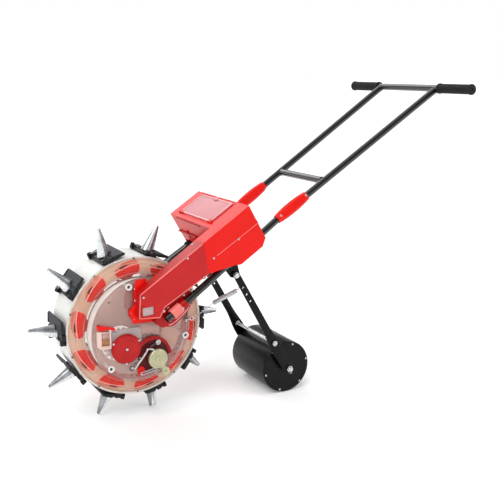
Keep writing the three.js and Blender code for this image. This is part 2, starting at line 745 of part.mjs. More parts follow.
// A flat arm: a bar down to a widening gusset that carries the cross rod and the roller's axle.
function pressArm(side) {
  const outline = [
    [PIVOT.x - 15, PIVOT.z + 8],
    [PIVOT.x - 4, PIVOT.z + 15],
    [PIVOT.x + 10, PIVOT.z + 11],
    [ROD.x + 18, ROD.z + 20],
    [ROLLER_X + 15, ROLLER_Z + 10],
    [ROLLER_X + 14, ROLLER_Z - 10],
    [ROLLER_X - 4, ROLLER_Z - 16],
    [ROLLER_X - 18, ROLLER_Z - 6],
    [ROD.x - 14, ROD.z - 20],
    [ROD.x - 22, ROD.z + 12],
  ];
  const sheet = plate(outline, ...ordered(side * (ARM_Y - 2.5), side * (ARM_Y + 2.5)));
  const holes = [disc(PIVOT.x, PIVOT.z, 5.1, -140, 140, 8)];
  for (const step of [48, 74, 100]) {
    const [dx, dz] = [ROD.x - PIVOT.x, ROD.z - PIVOT.z];
    const length = Math.hypot(dx, dz);
    holes.push(disc(PIVOT.x + (dx * step) / length, PIVOT.z + (dz * step) / length, 3.2, -140, 140, 6));
  }
  holes.push(disc(ROD.x, ROD.z, 5.5, -140, 140, 8));
  holes.push(disc(ROLLER_X, ROLLER_Z, 6.6, -140, 140, 8));
  return cut(solid(sheet), ...holes);
}

function nutted(x, z, rodR, nutR, reach) {
  const rod = disc(x, z, rodR, -reach, reach, 8);
  const inside = ARM_Y - 2.5 - GAP;
  const outside = ARM_Y + 2.5 + GAP;
  const outer = [[-outside - 6, -outside], [outside, outside + 6]];
  const inner = [[-inside, -inside + 4], [inside - 4, inside]];
  return join(rod, ...[...outer, ...inner].map(([y0, y1]) => disc(x, z, nutR, y0, y1, 6)));
}

const crossRod = () => nutted(ROD.x, ROD.z, 4.9, 9, ARM_Y + 12);
const rollerAxle = () => nutted(ROLLER_X, ROLLER_Z, 5.9, 10.5, ARM_Y + 16);

// Hollow roller with end discs and a centre tube that runs on the axle.
function pressRoller() {
  const half = ROLLER_HALF;
  const bore = 6.4;
  const hub = 12;
  const wall = 3;
  const nearEnd = [[bore, -half], [hub, -half], [hub, 3 - half]];
  nearEnd.push([ROLLER_R - 2, 3 - half], [ROLLER_R, 6 - half]);
  const farEnd = nearEnd.map(([r, y]) => [r, -y]).reverse();
  const skin = ring([...nearEnd, ...farEnd], 24);
  const roomEnd = half - 8;
  const roomR = ROLLER_R - wall;
  const room = ring([[hub, -roomEnd], [roomR, -roomEnd], [roomR, roomEnd], [hub, roomEnd]], 24);
  const vent = disc(0, ROLLER_R - 26, 4, half - 12, half + 2, 8);
  return cut(solid(skin), room, vent).translate([ROLLER_X, 0, ROLLER_Z]);
}

// Tension spring from the near arm's upper hole to the eye bolt on the core: its coil as one closed tube.
const SPRING_EYE = { x: 152, y: -119.5, z: 15 };

function pressSpring() {
  const coilFrom = [236, -116.5, 46.4];
  const coilTo = [297, -113, 73.6];
  const hook = [322, -112.6, 85];
  const coil = bar(coilFrom, coilTo, 9, 12);
  const leadWire = bar([SPRING_EYE.x + 4, -119.5, SPRING_EYE.z + 1.6], [238, -116.4, 47.3], 1.6, 6);
  const tailWire = bar([295, -113.1, 72.7], hook, 1.6, 6);
  return join(coil, leadWire, tailWire);
}

// ---------- assembly ----------

place("tread_rim", treadRim(), whitePlastic);
place("near_drum_cover", drumCover(), clearPlastic);
place("far_drum_cover", farSide(drumCover()), clearPlastic);
place("seed_guide_ring", seedGuideRing(), redPlastic);
place("drive_ring_gear", ringGear(), whitePlastic);
addMouths();

place("near_core_plate", frontCorePlate(), clearPlastic);
place("far_core_plate", rearCorePlate(), clearPlastic);
place("near_core_band", ring(bandSection, 32), whitePlastic);
place("far_core_band", farSide(ring(bandSection, 32)), whitePlastic);
TIE_ANGLES.forEach((angle, i) => place("tie_bolt_" + (i + 1), tieBolt(angle), whitePlastic));
place("metering_housing", meteringHousing(), greyPlastic);
place("metering_cap", meteringCap(), redPlastic);
place("metering_roller", meteringRoller(), whitePlastic);
place("idler_gear", idlerGear(), zinc);
place("idler_cover", idlerCover(), darkRedPlastic);
place("wire_lever", wireLever(), steel);
place("seed_window", seedWindowBox(), clearPlastic);
place("seed_window_flap", seedWindowFlap(), redPlastic);

place("seed_chute", seedChute(), redPlastic);
place("hopper_body", hopperBody(), redPlastic, slopeFrame);
place("hopper_lid", hopperLid(), clearPlastic, slopeFrame);

for (const [label, side] of [["near", -1], ["far", 1]]) {
  place(label + "_lower_tube", lowerTube(side), blackEnamel, slopeFrame);
  place(label + "_tube_clamp", tubeClamp(side), darkRedPlastic, slopeFrame);
  place(label + "_coupler", coupler(side), redPlastic, slopeFrame);
  place(label + "_grip", grip(side), blackPlastic, slopeFrame);
  place(label + "_arm_bracket", armBracket(side), blackEnamel);
  place(label + "_press_arm", pressArm(side), blackEnamel);
}
place("upper_handle", upperHandle(), blackEnamel, slopeFrame);
place("cross_rod", crossRod(), steel);
place("roller_axle", rollerAxle(), steel);
place("press_roller", pressRoller(), blackPlastic);
place("press_spring", pressSpring(), steel);

// The part's origin is the middle of its footprint, on the ground.
const seeder = new THREE.Group();
seeder.add(axleFrame);
seeder.updateMatrixWorld(true);
const extent = new THREE.Box3().setFromObject(seeder, true);
axleFrame.position.set(-(extent.min.x + extent.max.x) / 2, 0, -extent.min.z);

export default seeder;
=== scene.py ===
"""Looks of the push seeder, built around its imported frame. Lengths are in millimetres from the drum's
axle unless a name says otherwise, and AXLE_FRAME turns them into metres in the part's own frame."""

import json
import math

import bmesh
import bpy
from mathutils import Matrix, Vector


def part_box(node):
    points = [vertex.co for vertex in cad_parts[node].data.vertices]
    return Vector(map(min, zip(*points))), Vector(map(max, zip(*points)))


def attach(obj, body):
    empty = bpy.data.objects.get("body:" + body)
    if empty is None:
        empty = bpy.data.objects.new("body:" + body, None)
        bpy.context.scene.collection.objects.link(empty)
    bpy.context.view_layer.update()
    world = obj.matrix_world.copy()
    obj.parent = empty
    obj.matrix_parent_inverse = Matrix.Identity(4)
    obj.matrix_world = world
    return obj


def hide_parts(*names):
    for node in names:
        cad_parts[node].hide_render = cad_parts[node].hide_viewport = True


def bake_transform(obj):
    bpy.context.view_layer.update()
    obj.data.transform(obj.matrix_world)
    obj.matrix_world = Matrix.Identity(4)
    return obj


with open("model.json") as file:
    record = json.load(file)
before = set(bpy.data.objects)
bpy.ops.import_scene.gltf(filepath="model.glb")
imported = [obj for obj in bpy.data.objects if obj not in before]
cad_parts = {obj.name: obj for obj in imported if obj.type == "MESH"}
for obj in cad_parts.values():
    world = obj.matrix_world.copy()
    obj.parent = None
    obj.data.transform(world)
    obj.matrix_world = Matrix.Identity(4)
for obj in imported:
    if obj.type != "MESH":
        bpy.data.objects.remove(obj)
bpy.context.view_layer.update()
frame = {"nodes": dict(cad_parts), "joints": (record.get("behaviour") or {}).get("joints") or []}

# ---------- places taken from the frame ----------

MM = 0.001


def joint_point(name):
    return Vector(next(j["pos_m"] for j in frame["joints"] if j["name"] == name))


def turn(axis, degrees):
    return Matrix.Rotation(math.radians(degrees), 4, axis)


def shift(x, y, z):
    return Matrix.Translation((x, y, z))


AXLE = joint_point("drum_spin")
grip_lo, grip_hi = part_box("near_grip")
GRIP = (grip_lo + grip_hi) / 2 - AXLE
SLOPE = math.degrees(math.atan2(GRIP.z, GRIP.x))
TOP_BAR_U = math.hypot(GRIP.x, GRIP.z) / MM
AXLE_FRAME = Matrix.Translation(AXLE) @ Matrix.Scale(MM, 4)
SLOPE_FRAME = AXLE_FRAME @ turn("Y", -SLOPE)

MOUTHS = 10
AJAR_MOUTH = 6  # counted from nought, this mouth stands ajar
AJAR_ANGLE = 9
HINGE_R = 213.5


def mouth_angle(i):
    return 72 + 360 / MOUTHS * i


# A mouth's own directions: Z outwards, X trailing.
def station(i):
    return AXLE_FRAME @ turn("Y", 90 - mouth_angle(i))


def flap_station(i):
    angle = AJAR_ANGLE if i == AJAR_MOUTH else 0
    return station(i) @ shift(0, 0, HINGE_R) @ turn("Y", angle) @ shift(0, 0, -HINGE_R)


def at_joint(name):
    p = (joint_point(name) - AXLE) / MM
    return p.x, p.z


IDLER = at_joint("idler_spin")
METER = at_joint("metering_spin")
PIVOT = at_joint("press_arm_pivot")
ROLLER = at_joint("press_roller_spin")


def on_circle(radius, degrees, centre=(0, 0)):
    a = math.radians(degrees)
    return centre[0] + radius * math.cos(a), centre[1] + radius * math.sin(a)


def on_slope(u, y, v=0):
    a = math.radians(SLOPE)
    return u * math.cos(a) - v * math.sin(a), y, u * math.sin(a) + v * math.cos(a)


# ---------- shapes: (points, faces) in millimetres ----------


def moved(shape, matrix):
    return [matrix @ Vector(p) for p in shape[0]], shape[1]


def joined(*shapes):
    points, faces = [], []
    for p, f in shapes:
        faces += [[k + len(points) for k in face] for face in f]
        points += list(p)
    return points, faces


def lathe(section, steps=96, full=True):
    """A section of (radius, y) points turned about the Y axis. A full section is a closed loop."""
    n = len(section)
    points = []
    for k in range(steps):
        a = math.tau * k / steps
        points += [Vector((r * math.cos(a), y, r * math.sin(a))) for r, y in section]
    faces = []
    for k in range(steps):
        a, b = k * n, (k + 1) % steps * n
        for i in range(n if full else n - 1):
            j = (i + 1) % n
            faces.append([a + i, a + j, b + j, b + i])
    if not full:
        faces += [[k * n for k in range(steps)], [k * n + n - 1 for k in range(steps)]]
    return points, faces


def skinned(rings, closed=False):
    """A skin over equal rings of points, capped at both ends unless it closes on itself."""
    n, m = len(rings[0]), len(rings)
    faces = []
    for k in range(m if closed else m - 1):
        a, b = k * n, (k + 1) % m * n
        faces += [[a + i, a + (i + 1) % n, b + (i + 1) % n, b + i] for i in range(n)]
    if not closed:
        faces += [list(range(n)), list(range((m - 1) * n, m * n))]
    return [Vector(p) for ring in rings for p in ring], faces


def swept(path, radius, sides=12, closed=False):
    """A round rod along a path. The radius is one number or a function of the share of the way."""
    path = [Vector(p) for p in path]
    m = len(path)
    normal = None
    rings = []
    for k, p in enumerate(path):
        ahead = path[(k + 1) % m] if closed or k < m - 1 else p
        behind = path[k - 1] if closed or k else p
        along = (ahead - behind).normalized()
        if normal is None:
            normal = along.orthogonal().normalized()
        normal = (normal - along * normal.dot(along)).normalized()
        side = along.cross(normal)
        r = radius(k / (m - 1)) if callable(radius) else radius
        turns = [math.tau * i / sides for i in range(sides)]
        rings.append([p + (normal * math.cos(a) + side * math.sin(a)) * r for a in turns])
    return skinned(rings, closed=closed)


def smooth_path(points, steps=8):
    """More points along a path, by Catmull-Rom curves through the given ones."""
    pts = [Vector(p) for p in points]
    pts = [pts[0] * 2 - pts[1], *pts, pts[-1] * 2 - pts[-2]]
    path = []
    for a, b, c, d in zip(pts, pts[1:], pts[2:], pts[3:]):
        for k in range(steps):
            t = k / steps
            path.append(
                0.5 * (2 * b + (c - a) * t + (2 * a - 5 * b + 4 * c - d) * t * t
                       + (3 * b - a - 3 * c + d) * t ** 3)
            )
    return path + [pts[-2]]


def bent(points, radius, sides=12, steps=6):
    """A round rod that bends smoothly through the given points."""
    return swept(smooth_path(points, steps), radius, sides)


def rounded(corners, radius, steps=4):
    """An outline with each corner rounded. The radius is one number or one for each corner."""
    out = []
    n = len(corners)
    for k in range(n):
        p, before, after = (Vector(corners[j]) for j in (k, k - 1, (k + 1) % n))
        r = radius[k] if isinstance(radius, (list, tuple)) else radius
        a, b = before - p, after - p
        reach = min(r, a.length * 0.45, b.length * 0.45)
        start, end = p + a.normalized() * reach, p + b.normalized() * reach
        for i in range(steps + 1):
            t = i / steps
            out.append(tuple(start * (1 - t) ** 2 + p * 2 * t * (1 - t) + end * t * t))
    return out


def circle(x, z, radius, sides=48):
    return [on_circle(radius, 360 * k / sides, (x, z)) for k in range(sides)]


def rectangle(x0, z0, x1, z1, radius=0):
    corners = [(x0, z0), (x1, z0), (x1, z1), (x0, z1)]
    return rounded(corners, radius) if radius else corners


def plate(outline, y0, y1, holes=(), bevel=0.4):
    """A flat sheet in the X-Z plane between y0 and y1, with holes and softened edges."""
    curve = bpy.data.curves.new("outline", "CURVE")
    curve.dimensions, curve.fill_mode = "2D", "BOTH"
    curve.extrude = (y1 - y0) / 2 - bevel
    curve.bevel_depth, curve.offset, curve.bevel_resolution = bevel, -bevel, 1
    for loop in [outline, *holes]:
        spline = curve.splines.new("POLY")
        spline.points.add(len(loop) - 1)
        spline.use_cyclic_u = True
        for point, (x, z) in zip(spline.points, loop):
            point.co = (x, z, 0, 1)
    holder = bpy.data.objects.new("outline", curve)
    mesh = bpy.data.meshes.new_from_object(holder)
    shape = [v.co.copy() for v in mesh.vertices], [list(p.vertices) for p in mesh.polygons]
    bpy.data.objects.remove(holder)
    bpy.data.curves.remove(curve)
    bpy.data.meshes.remove(mesh)
    return moved(shape, shift(0, (y0 + y1) / 2, 0) @ turn("X", 90))


def prism(outline, y0, y1):
    rings = [[(x, y, z) for x, z in outline] for y in (y0, y1)]
    return skinned(rings)


def box(lo, hi):
    return prism(rectangle(lo[0], lo[2], hi[0], hi[2]), lo[1], hi[1])


def strip(path, y0, y1, thickness, closed=False):
    """A wall that follows a path in the X-Z plane."""
    pts = [Vector(p) for p in path]
    n = len(pts)
    rings = []
    for k, p in enumerate(pts):
        ahead = pts[(k + 1) % n] if closed or k < n - 1 else p
        behind = pts[k - 1] if closed or k else p
        along = (ahead - behind).normalized()
        side = Vector((-along.y, along.x)) * thickness / 2
        a, b = p + side, p - side
        rings.append([(a.x, y0, a.y), (b.x, y0, b.y), (b.x, y1, b.y), (a.x, y1, a.y)])
    return skinned(rings, closed=closed)


def disc(x, z, section, steps=48, full=False):
    """A turned part about a line through (x, z). Its open section of (radius, y) runs end to end."""
    return moved(lathe(section, steps, full), shift(x, 0, z))


def aimed(shape, point, direction):
    """A shape made along Z, put at a point and turned to a direction."""
    spin = Vector(direction).to_track_quat("Z", "Y").to_matrix().to_4x4()
    return moved(shape, Matrix.Translation(point) @ spin)


def level_ring(radius, z, sides):
    return [(x, y, z) for x, y in circle(0, 0, radius, sides)]


def screw(point, direction, radius=3.2, height=1.8, sides=20):
    """A domed screw head with a six-sided recess, standing on a point."""
    profile = [(1, 0), (1, 0.3), (0.93, 0.62), (0.75, 0.88), (0.5, 1)]
    rings = []
    for share, level in profile:
        rings.append(level_ring(radius * share, height * level, sides))
    for share, level in ((0.42, 1), (0.38, 0.35)):
        ring = []
        for k in range(sides):
            a = 360 * k / sides
            hexed = math.cos(math.radians(30)) / math.cos(math.radians(a % 60 - 30))
            ring.append((*on_circle(radius * share * hexed, a), height * level))
        rings.append(ring)
    return aimed(skinned(rings), point, direction)


def hex_nut(point, direction, across, height, bore=0):
    """A chamfered nut, or a bolt head where it has no bore."""
    sides = 36
    rings = []
    for inset, level in ((0.1, 0), (0, 0.14), (0, 0.86), (0.1, 1)):
        ring = []
        for k in range(sides):
            a = 360 * k / sides
            hexed = across / 2 / math.cos(math.radians(a % 60 - 30))
            ring.append((*on_circle(min(hexed, across * (0.577 - inset)), a), height * level))
        rings.append(ring)
    if bore:
        rings += [level_ring(bore, height, sides), level_ring(bore, 0, sides)]
        return aimed(skinned(rings, closed=True), point, direction)
    return aimed(skinned(rings), point, direction)


def coil(start, end, radius, wire, turns, steps=18):
    """The centreline of a helix between two points."""
    a, b = Vector(start), Vector(end)
    along = b - a
    side = along.cross((0, 1, 0)).normalized()
    other = along.normalized().cross(side)
    path = []
    count = turns * steps
    for k in range(count + 1):
        t = math.tau * k / steps
        path.append(a + along * k / count + (side * math.cos(t) + other * math.sin(t)) * (radius - wire))
    return path


# ---------- pieces ----------

NEAR = (0, -1, 0)
FAR = (0, 1, 0)
SIDES = (("near", -1), ("far", 1))


def span(side, start, end):
    """Two distances from the middle, as the lower and upper y on a side."""
    return sorted((side * start, side * end))


def near_screws(places, y, radius, height):
    """Screws on a face that looks to the near side, at places in X and Z."""
    return [screw((x, y, z), NEAR, radius, height) for x, z in places]


def add(name, shape, finish, body="frame", space=AXLE_FRAME, bevel=0.0, smooth=35, stands_for=""):
    """A piece of the object from a shape, riding on a body. It may stand for a CAD node."""
    mesh = bpy.data.meshes.new(name)
    mesh.from_pydata([space @ Vector(p) for p in shape[0]], [], shape[1])
    bm = bmesh.new()
    bm.from_mesh(mesh)
    bmesh.ops.remove_doubles(bm, verts=bm.verts, dist=2e-6)
    bmesh.ops.recalc_face_normals(bm, faces=bm.faces)
    bm.to_mesh(mesh)
    bm.free()
    piece = bpy.data.objects.new(name, mesh)
    bpy.context.scene.collection.objects.link(piece)
    return dress(piece, finish, body, bevel, smooth, stands_for)


def dress(piece, finish, body, bevel, smooth, stands_for=""):
    material, slot_name = finish
    piece.data.materials.clear()
    piece.data.materials.append(material)
    piece.data.shade_smooth()
    piece.data.set_sharp_from_angle(angle=math.radians(smooth))
    if bevel:
        edge = piece.modifiers.new("edges", "BEVEL")
        edge.width, edge.segments = bevel * MM, 2
        edge.limit_method, edge.angle_limit = "ANGLE", math.radians(smooth)
        edge.harden_normals = True
    if body:
        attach(piece, body)
    if stands_for:
        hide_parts(stands_for)
    return piece


def refined(node, finish, body="frame", bevel=0.8, smooth=30):
    """A copy of a CAD node with its flat faces made whole and its edges softened."""
    bm = bmesh.new()
    bm.from_mesh(frame["nodes"][node].data)
    bmesh.ops.remove_doubles(bm, verts=bm.verts, dist=5e-6)
    bmesh.ops.dissolve_limit(bm, angle_limit=math.radians(0.6), verts=bm.verts, edges=bm.edges)
    mesh = bpy.data.meshes.new(node + "_shell")
    bm.to_mesh(mesh)
    bm.free()
    piece = bpy.data.objects.new(node + "_shell", mesh)
    bpy.context.scene.collection.objects.link(piece)
    return dress(piece, finish, body, bevel, smooth, node)


# ---------- materials ----------


def linear(r, g, b):
    """A screen colour, 0 to 255, as the shader's linear one."""
    return tuple((c / 255) ** 2.2 for c in (r, g, b)) + (1.0,)


def look(
    slot, name, colour, roughness, second, grain=900, bump=0.04, blotch=12, stretch=(1, 1, 1), **sockets
):
    """A finish for a slot: blotches between two colours, uneven gloss and a fine grain in relief."""
    material = bpy.data.materials.new(name)
    material.use_nodes = True
    nodes, links = material.node_tree.nodes, material.node_tree.links
    surface = nodes["Principled BSDF"]
    coordinates = nodes.new("ShaderNodeTexCoord")
    scaled = nodes.new("ShaderNodeMapping")
    scaled.inputs["Scale"].default_value = stretch
    links.new(coordinates.outputs["Object"], scaled.inputs["Vector"])

    def noise(scale, detail):
        n = nodes.new("ShaderNodeTexNoise")
        n.inputs["Scale"].default_value, n.inputs["Detail"].default_value = scale, detail
        links.new(scaled.outputs["Vector"], n.inputs["Vector"])
        return n.outputs["Fac"]

    cloudy, fine = noise(blotch, 5), noise(grain, 3)
    tones = nodes.new("ShaderNodeValToRGB")
    for stop, place, shade in zip(tones.color_ramp.elements, (0.3, 0.7), (second, colour)):
        stop.position, stop.color = place, linear(*shade)
    links.new(cloudy, tones.inputs["Fac"])
    links.new(tones.outputs["Color"], surface.inputs["Base Color"])
    gloss = nodes.new("ShaderNodeMapRange")
    gloss.inputs["From Min"].default_value = 0.3
    gloss.inputs["From Max"].default_value = 0.7
    gloss.inputs["To Min"].default_value = roughness * 0.8
    gloss.inputs["To Max"].default_value = min(1.0, roughness * 1.25)
    links.new(fine, gloss.inputs["Value"])
    links.new(gloss.outputs["Result"], surface.inputs["Roughness"])
    relief = nodes.new("ShaderNodeBump")
    relief.inputs["Strength"].default_value = bump * 4
    relief.inputs["Distance"].default_value = 0.0002
    links.new(fine, relief.inputs["Height"])
    links.new(relief.outputs["Normal"], surface.inputs["Normal"])
    for socket, value in sockets.items():
        surface.inputs[socket.replace("_", " ")].default_value = value
    return material, slot


WHITE = look("white_plastic", "white_plastic", (238, 237, 234), 0.42, (226, 225, 221))
CLEAR = look(
    "clear_cover", "clear_cover", (226, 190, 168), 0.1, (214, 172, 148),
    grain=120, bump=0.004, Alpha=0.05, Specular_IOR_Level=0.5,
    Coat_Weight=0.5, Coat_Roughness=0.06, Coat_IOR=1.5,
)
CORE_CLEAR = look(
    "clear_cover", "core_cover", (222, 190, 182), 0.22, (204, 168, 160),
    grain=260, bump=0.02, blotch=7, Alpha=0.21, Specular_IOR_Level=0.8, Coat_Weight=0.6, Coat_Roughness=0.1,
)
BAND = look(
    "clear_cover", "core_rim", (246, 236, 228), 0.28, (232, 214, 204),
    grain=260, bump=0.02, Alpha=0.07, Specular_IOR_Level=1.0, Coat_Weight=1.0, Coat_Roughness=0.12,
)
GEAR_CLEAR = look(
    "clear_cover", "gear_clear", (240, 226, 216), 0.3, (228, 210, 200),
    Alpha=0.05, Specular_IOR_Level=0.6,
)
BACKING = look(
    "clear_cover", "beige_plastic", (222, 184, 162), 0.5, (202, 156, 130),
    blotch=14, Specular_IOR_Level=0.3,
)
RED = look(
    "red_plastic", "red_plastic", (230, 22, 4), 0.32, (222, 18, 3),
    grain=700, bump=0.03, Specular_IOR_Level=0.24,
)
DEEP_RED = look(
    "dark_red_plastic", "dark_red_plastic", (176, 8, 12), 0.33, (158, 6, 9),
    grain=700, bump=0.03, Specular_IOR_Level=0.3,
)
# Dark red plastic, painted much darker for the shade in recesses and slots.
SHADED_RECESS_RED = look(
    "dark_red_plastic", "recess_red_painted_shade", (92, 6, 10), 0.45, (70, 4, 8),
    grain=700, bump=0.03, Specular_IOR_Level=0.25,
)
CAP_RED = look(
    "red_plastic", "cap_red", (186, 12, 12), 0.36, (168, 9, 9),
    grain=500, bump=0.05, blotch=30, Specular_IOR_Level=0.35,
)
CORE_BACK = look(
    "clear_cover", "core_wall", (216, 184, 174), 0.5, (196, 160, 150), blotch=9, Specular_IOR_Level=0.3,
)
# Pale, nearly opaque sheet that paints the highlight on the upper left of the core's clear rim.
PAINTED_RIM_HIGHLIGHT = look(
    "clear_cover", "painted_rim_highlight", (244, 236, 230), 0.35, (232, 220, 212),
    blotch=30, Alpha=0.85, Specular_IOR_Level=0.6,
)
GEAR_GREY = look("zinc_plate", "gear_grey", (112, 100, 106), 0.5, (96, 84, 90))
PAD_GREY = look(
    "black_plastic", "pad_grey", (74, 75, 78), 0.5, (56, 57, 60),
    grain=520, bump=0.14, Specular_IOR_Level=0.3,
)
WINDOW_FRAME = look(
    "white_plastic", "window_frame", (234, 206, 196), 0.3, (224, 192, 182), Specular_IOR_Level=0.6,
)
LEAF_RED = look(
    "red_plastic", "leaf_red", (222, 4, 4), 0.5, (206, 2, 3), blotch=18, Specular_IOR_Level=0.12,
)
# Raised beads on the cover, made paler and more opaque than the cover to paint its ring highlights.
BEAD_HIGHLIGHT = look(
    "clear_cover", "bead", (250, 236, 226), 0.2, (240, 222, 210), Alpha=0.55, Specular_IOR_Level=0.9,
)
# Pale pink that paints highlights: the light line along each cover step over the pockets, and the rims of
# the tube clamps.
PAINTED_HIGHLIGHT_LINE = look("red_plastic", "painted_highlight_line", (255, 196, 188), 0.3, (250, 184, 176))
PALE_RED = look(
    "red_plastic", "pale_red", (216, 104, 82), 0.4, (204, 90, 70), blotch=24, Specular_IOR_Level=0.3,
)
# Pale rose: the saddles' colour, and painted highlights on pocket rims and chute edges.
ROSE_AND_HIGHLIGHT = look(
    "red_plastic", "rose_plastic_and_highlight", (240, 126, 118), 0.35, (228, 110, 104), Specular_IOR_Level=0.5,
)
LID = look(
    "lid_clear", "lid_clear", (238, 138, 146), 0.16, (230, 126, 136),
    grain=260, bump=0.02, Alpha=0.6, Specular_IOR_Level=0.6,
)
LID_EDGE = look("lid_clear", "lid_edge", (250, 196, 196), 0.2, (246, 184, 186), Specular_IOR_Level=0.6)
GREY = look("grey_plastic", "grey_plastic", (172, 158, 156), 0.45, (152, 138, 138))
ZINC = look(
    "zinc_plate", "zinc_plate", (200, 194, 158), 0.36, (170, 172, 142),
    blotch=45, bump=0.05, Metallic=0.6,
)
STEEL = look(
    "steel", "steel", (214, 215, 217), 0.24, (180, 182, 186),
    grain=260, stretch=(1, 14, 1), bump=0.03, Metallic=1.0,
)
DARK_STEEL = look(
    "steel", "dark_steel", (104, 100, 98), 0.4, (76, 72, 70), grain=260, bump=0.05, Metallic=0.8,
)
# The beak's leading half: steel painted light for the highlight that falls on it.
LIT_BEAK_STEEL = look(
    "steel", "beak_steel_painted_lit", (246, 247, 249), 0.24, (206, 208, 212),
    blotch=34, grain=420, bump=0.02, Metallic=0.62,
)
# The trailing half of the same steel, painted darker for the shade on it.
SHADED_JAW_STEEL = look(
    "steel", "jaw_steel_painted_shade", (176, 178, 182), 0.3, (112, 114, 118),
    blotch=34, grain=420, bump=0.02, Metallic=0.66,
)
BLACK = look(
    "black_plastic", "black_plastic", (30, 31, 33), 0.46, (20, 21, 23),
    grain=520, bump=0.12, Specular_IOR_Level=0.35,
)
ENAMEL = look(
    "black_enamel", "black_enamel", (12, 12, 12), 0.32, (8, 8, 8),
    grain=160, bump=0.02, Specular_IOR_Level=0.18, Coat_Weight=0.04, Coat_Roughness=0.12,
)
TUBE_BLACK = look(
    "black_enamel", "tube_enamel", (9, 9, 10), 0.2, (6, 6, 7),
    grain=160, bump=0.02, Specular_IOR_Level=0.5, Coat_Weight=0.6, Coat_Roughness=0.1,
)
RUBBER = look(
    "grip_rubber", "grip_rubber", (26, 26, 27), 0.6, (20, 20, 21),
    grain=800, bump=0.1, Specular_IOR_Level=0.3,
)
SEED = look("clear_cover", "seed_tone", (186, 126, 78), 0.6, (140, 92, 54), blotch=160)
INNER_BROWN = look("clear_cover", "inner_wall", (150, 62, 36), 0.5, (122, 44, 26), blotch=20)


# ---------- camera, light and floor ----------

CAMERA_PLACE = (-830, -2225, 729)  # millimetres from the axle
CAMERA_YAW = 29.219
CAMERA_PITCH = 12.422
CAMERA_LENS = 59.66
WALL_LIGHT = 1.0
CEILING_LIGHT = 0.24
FLOOR_REACH = 60  # metres


def add_camera():
    data = bpy.data.cameras.new("camera")
    data.lens, data.sensor_width = CAMERA_LENS, 36
    camera = bpy.data.objects.new("camera", data)
    bpy.context.scene.collection.objects.link(camera)
    tilt = turn("Z", -CAMERA_YAW) @ turn("X", 90 - CAMERA_PITCH)
    camera.matrix_world = Matrix.Translation(AXLE + Vector(CAMERA_PLACE) * MM) @ tilt
    bpy.context.scene.camera = camera


def add_sun(name, place, strength, spread):
    data = bpy.data.lights.new(name, "SUN")
    data.energy, data.angle = strength, math.radians(spread)
    light = bpy.data.objects.new(name, data)
    bpy.context.scene.collection.objects.link(light)
    light.matrix_world = Vector(place).to_track_quat("Z", "Y").to_matrix().to_4x4()


def add_world():
    """A studio that is bright all round, up to a height above the floor, and grey overhead."""
    world = bpy.data.worlds.new("studio")
    world.use_nodes = True
    nodes, links = world.node_tree.nodes, world.node_tree.links
    background = nodes["Background"]
    background.inputs["Color"].default_value = (1, 1, 1, 1)
    place = nodes.new("ShaderNodeTexCoord")
    split = nodes.new("ShaderNodeSeparateXYZ")
    fade = nodes.new("ShaderNodeMapRange")
    fade.inputs["From Min"].default_value, fade.inputs["From Max"].default_value = 0.16, 0.32
    fade.inputs["To Min"].default_value, fade.inputs["To Max"].default_value = WALL_LIGHT, CEILING_LIGHT
    links.new(place.outputs["Generated"], split.inputs["Vector"])
    links.new(split.outputs["Z"], fade.inputs["Value"])
    links.new(fade.outputs["Result"], background.inputs["Strength"])
    bpy.context.scene.world = world


def add_floor():
    reach = FLOOR_REACH
    mesh = bpy.data.meshes.new("floor")
    corners = [(-reach, -reach, 0), (reach, -reach, 0), (reach, reach, 0), (-reach, reach, 0)]
    mesh.from_pydata(corners, [], [[0, 1, 2, 3]])
    ground = bpy.data.objects.new("floor", mesh)
    bpy.context.scene.collection.objects.link(ground)
    pale = bpy.data.materials.new("floor")
    pale.use_nodes = True
    surface = pale.node_tree.nodes["Principled BSDF"]
    surface.inputs["Base Color"].default_value = (0.95, 0.95, 0.95, 1)
    surface.inputs["Roughness"].default_value = 0.9
    surface.inputs["Specular IOR Level"].default_value = 0.1
    surface.inputs["Emission Color"].default_value = (1, 1, 1, 1)
    surface.inputs["Emission Strength"].default_value = 0.16
    mesh.materials.append(pale)


def add_studio():
    bpy.context.scene.view_settings.view_transform = "Standard"
    add_world()
    add_sun("key", (-0.5, -0.44, 0.74), 1.45, 34)
    add_sun("right", (0.8, -0.5, 0.75), 0.7, 44)
    add_sun("behind", (-0.1, 0.85, 0.62), 1.0, 44)
    add_sun("above", (0.1, 0.1, 1.0), 0.62, 60)
    add_floor()


# ---------- drum ----------

DRUM_R = 205
DRUM_HALF = 66


def tread():
    """The white rim: fine ribs across it, and a window under each mouth."""
    ribs, per_rib = 180, 4
    depth = (0, 0, 0.8, 0.8)
    levels = [-62.7, -60.6, -60.2, -15, 15, 60.2, 60.6, 62.7]
    steps = ribs * per_rib
    inner = DRUM_R - 6

    def window(k, j):
        angle = 360 * (k + 0.5) / steps
        off = (angle - mouth_angle(0) + 18) % 36 - 18
        return levels[j] == -15 and abs(off) < 4.5

    points = []
    for k in range(steps):
        for j, y in enumerate(levels):
            dip = depth[k % per_rib] if 1 < j < len(levels) - 2 else 0
            for r in (DRUM_R - dip, inner):
                x, z = on_circle(r, 360 * k / steps)
                points.append(Vector((x, y, z)))
    m = len(levels)

    def at(k, j, layer):
        return ((k % steps) * m + j) * 2 + layer

    faces = []
    for k in range(steps):
        for j in range(m - 1):
            if window(k, j):
                continue
            ring = [(k, j), (k, j + 1), (k + 1, j + 1), (k + 1, j)]
            faces.append([at(a, b, 0) for a, b in ring])
            faces.append([at(a, b, 1) for a, b in reversed(ring)])
            above = j + 1 == m - 1 or window(k, j + 1)
            below = j == 0 or window(k, j - 1)
            open_sides = [window(k - 1, j), above, window(k + 1, j), below]
            for side, is_open in enumerate(open_sides):
                if is_open:
                    (a, b), (c, d) = ring[side], ring[(side + 1) % 4]
                    faces.append([at(a, b, 0), at(a, b, 1), at(c, d, 1), at(c, d, 0)])
    add("tread", (points, faces), WHITE, "drum", smooth=40, stands_for="tread_rim")


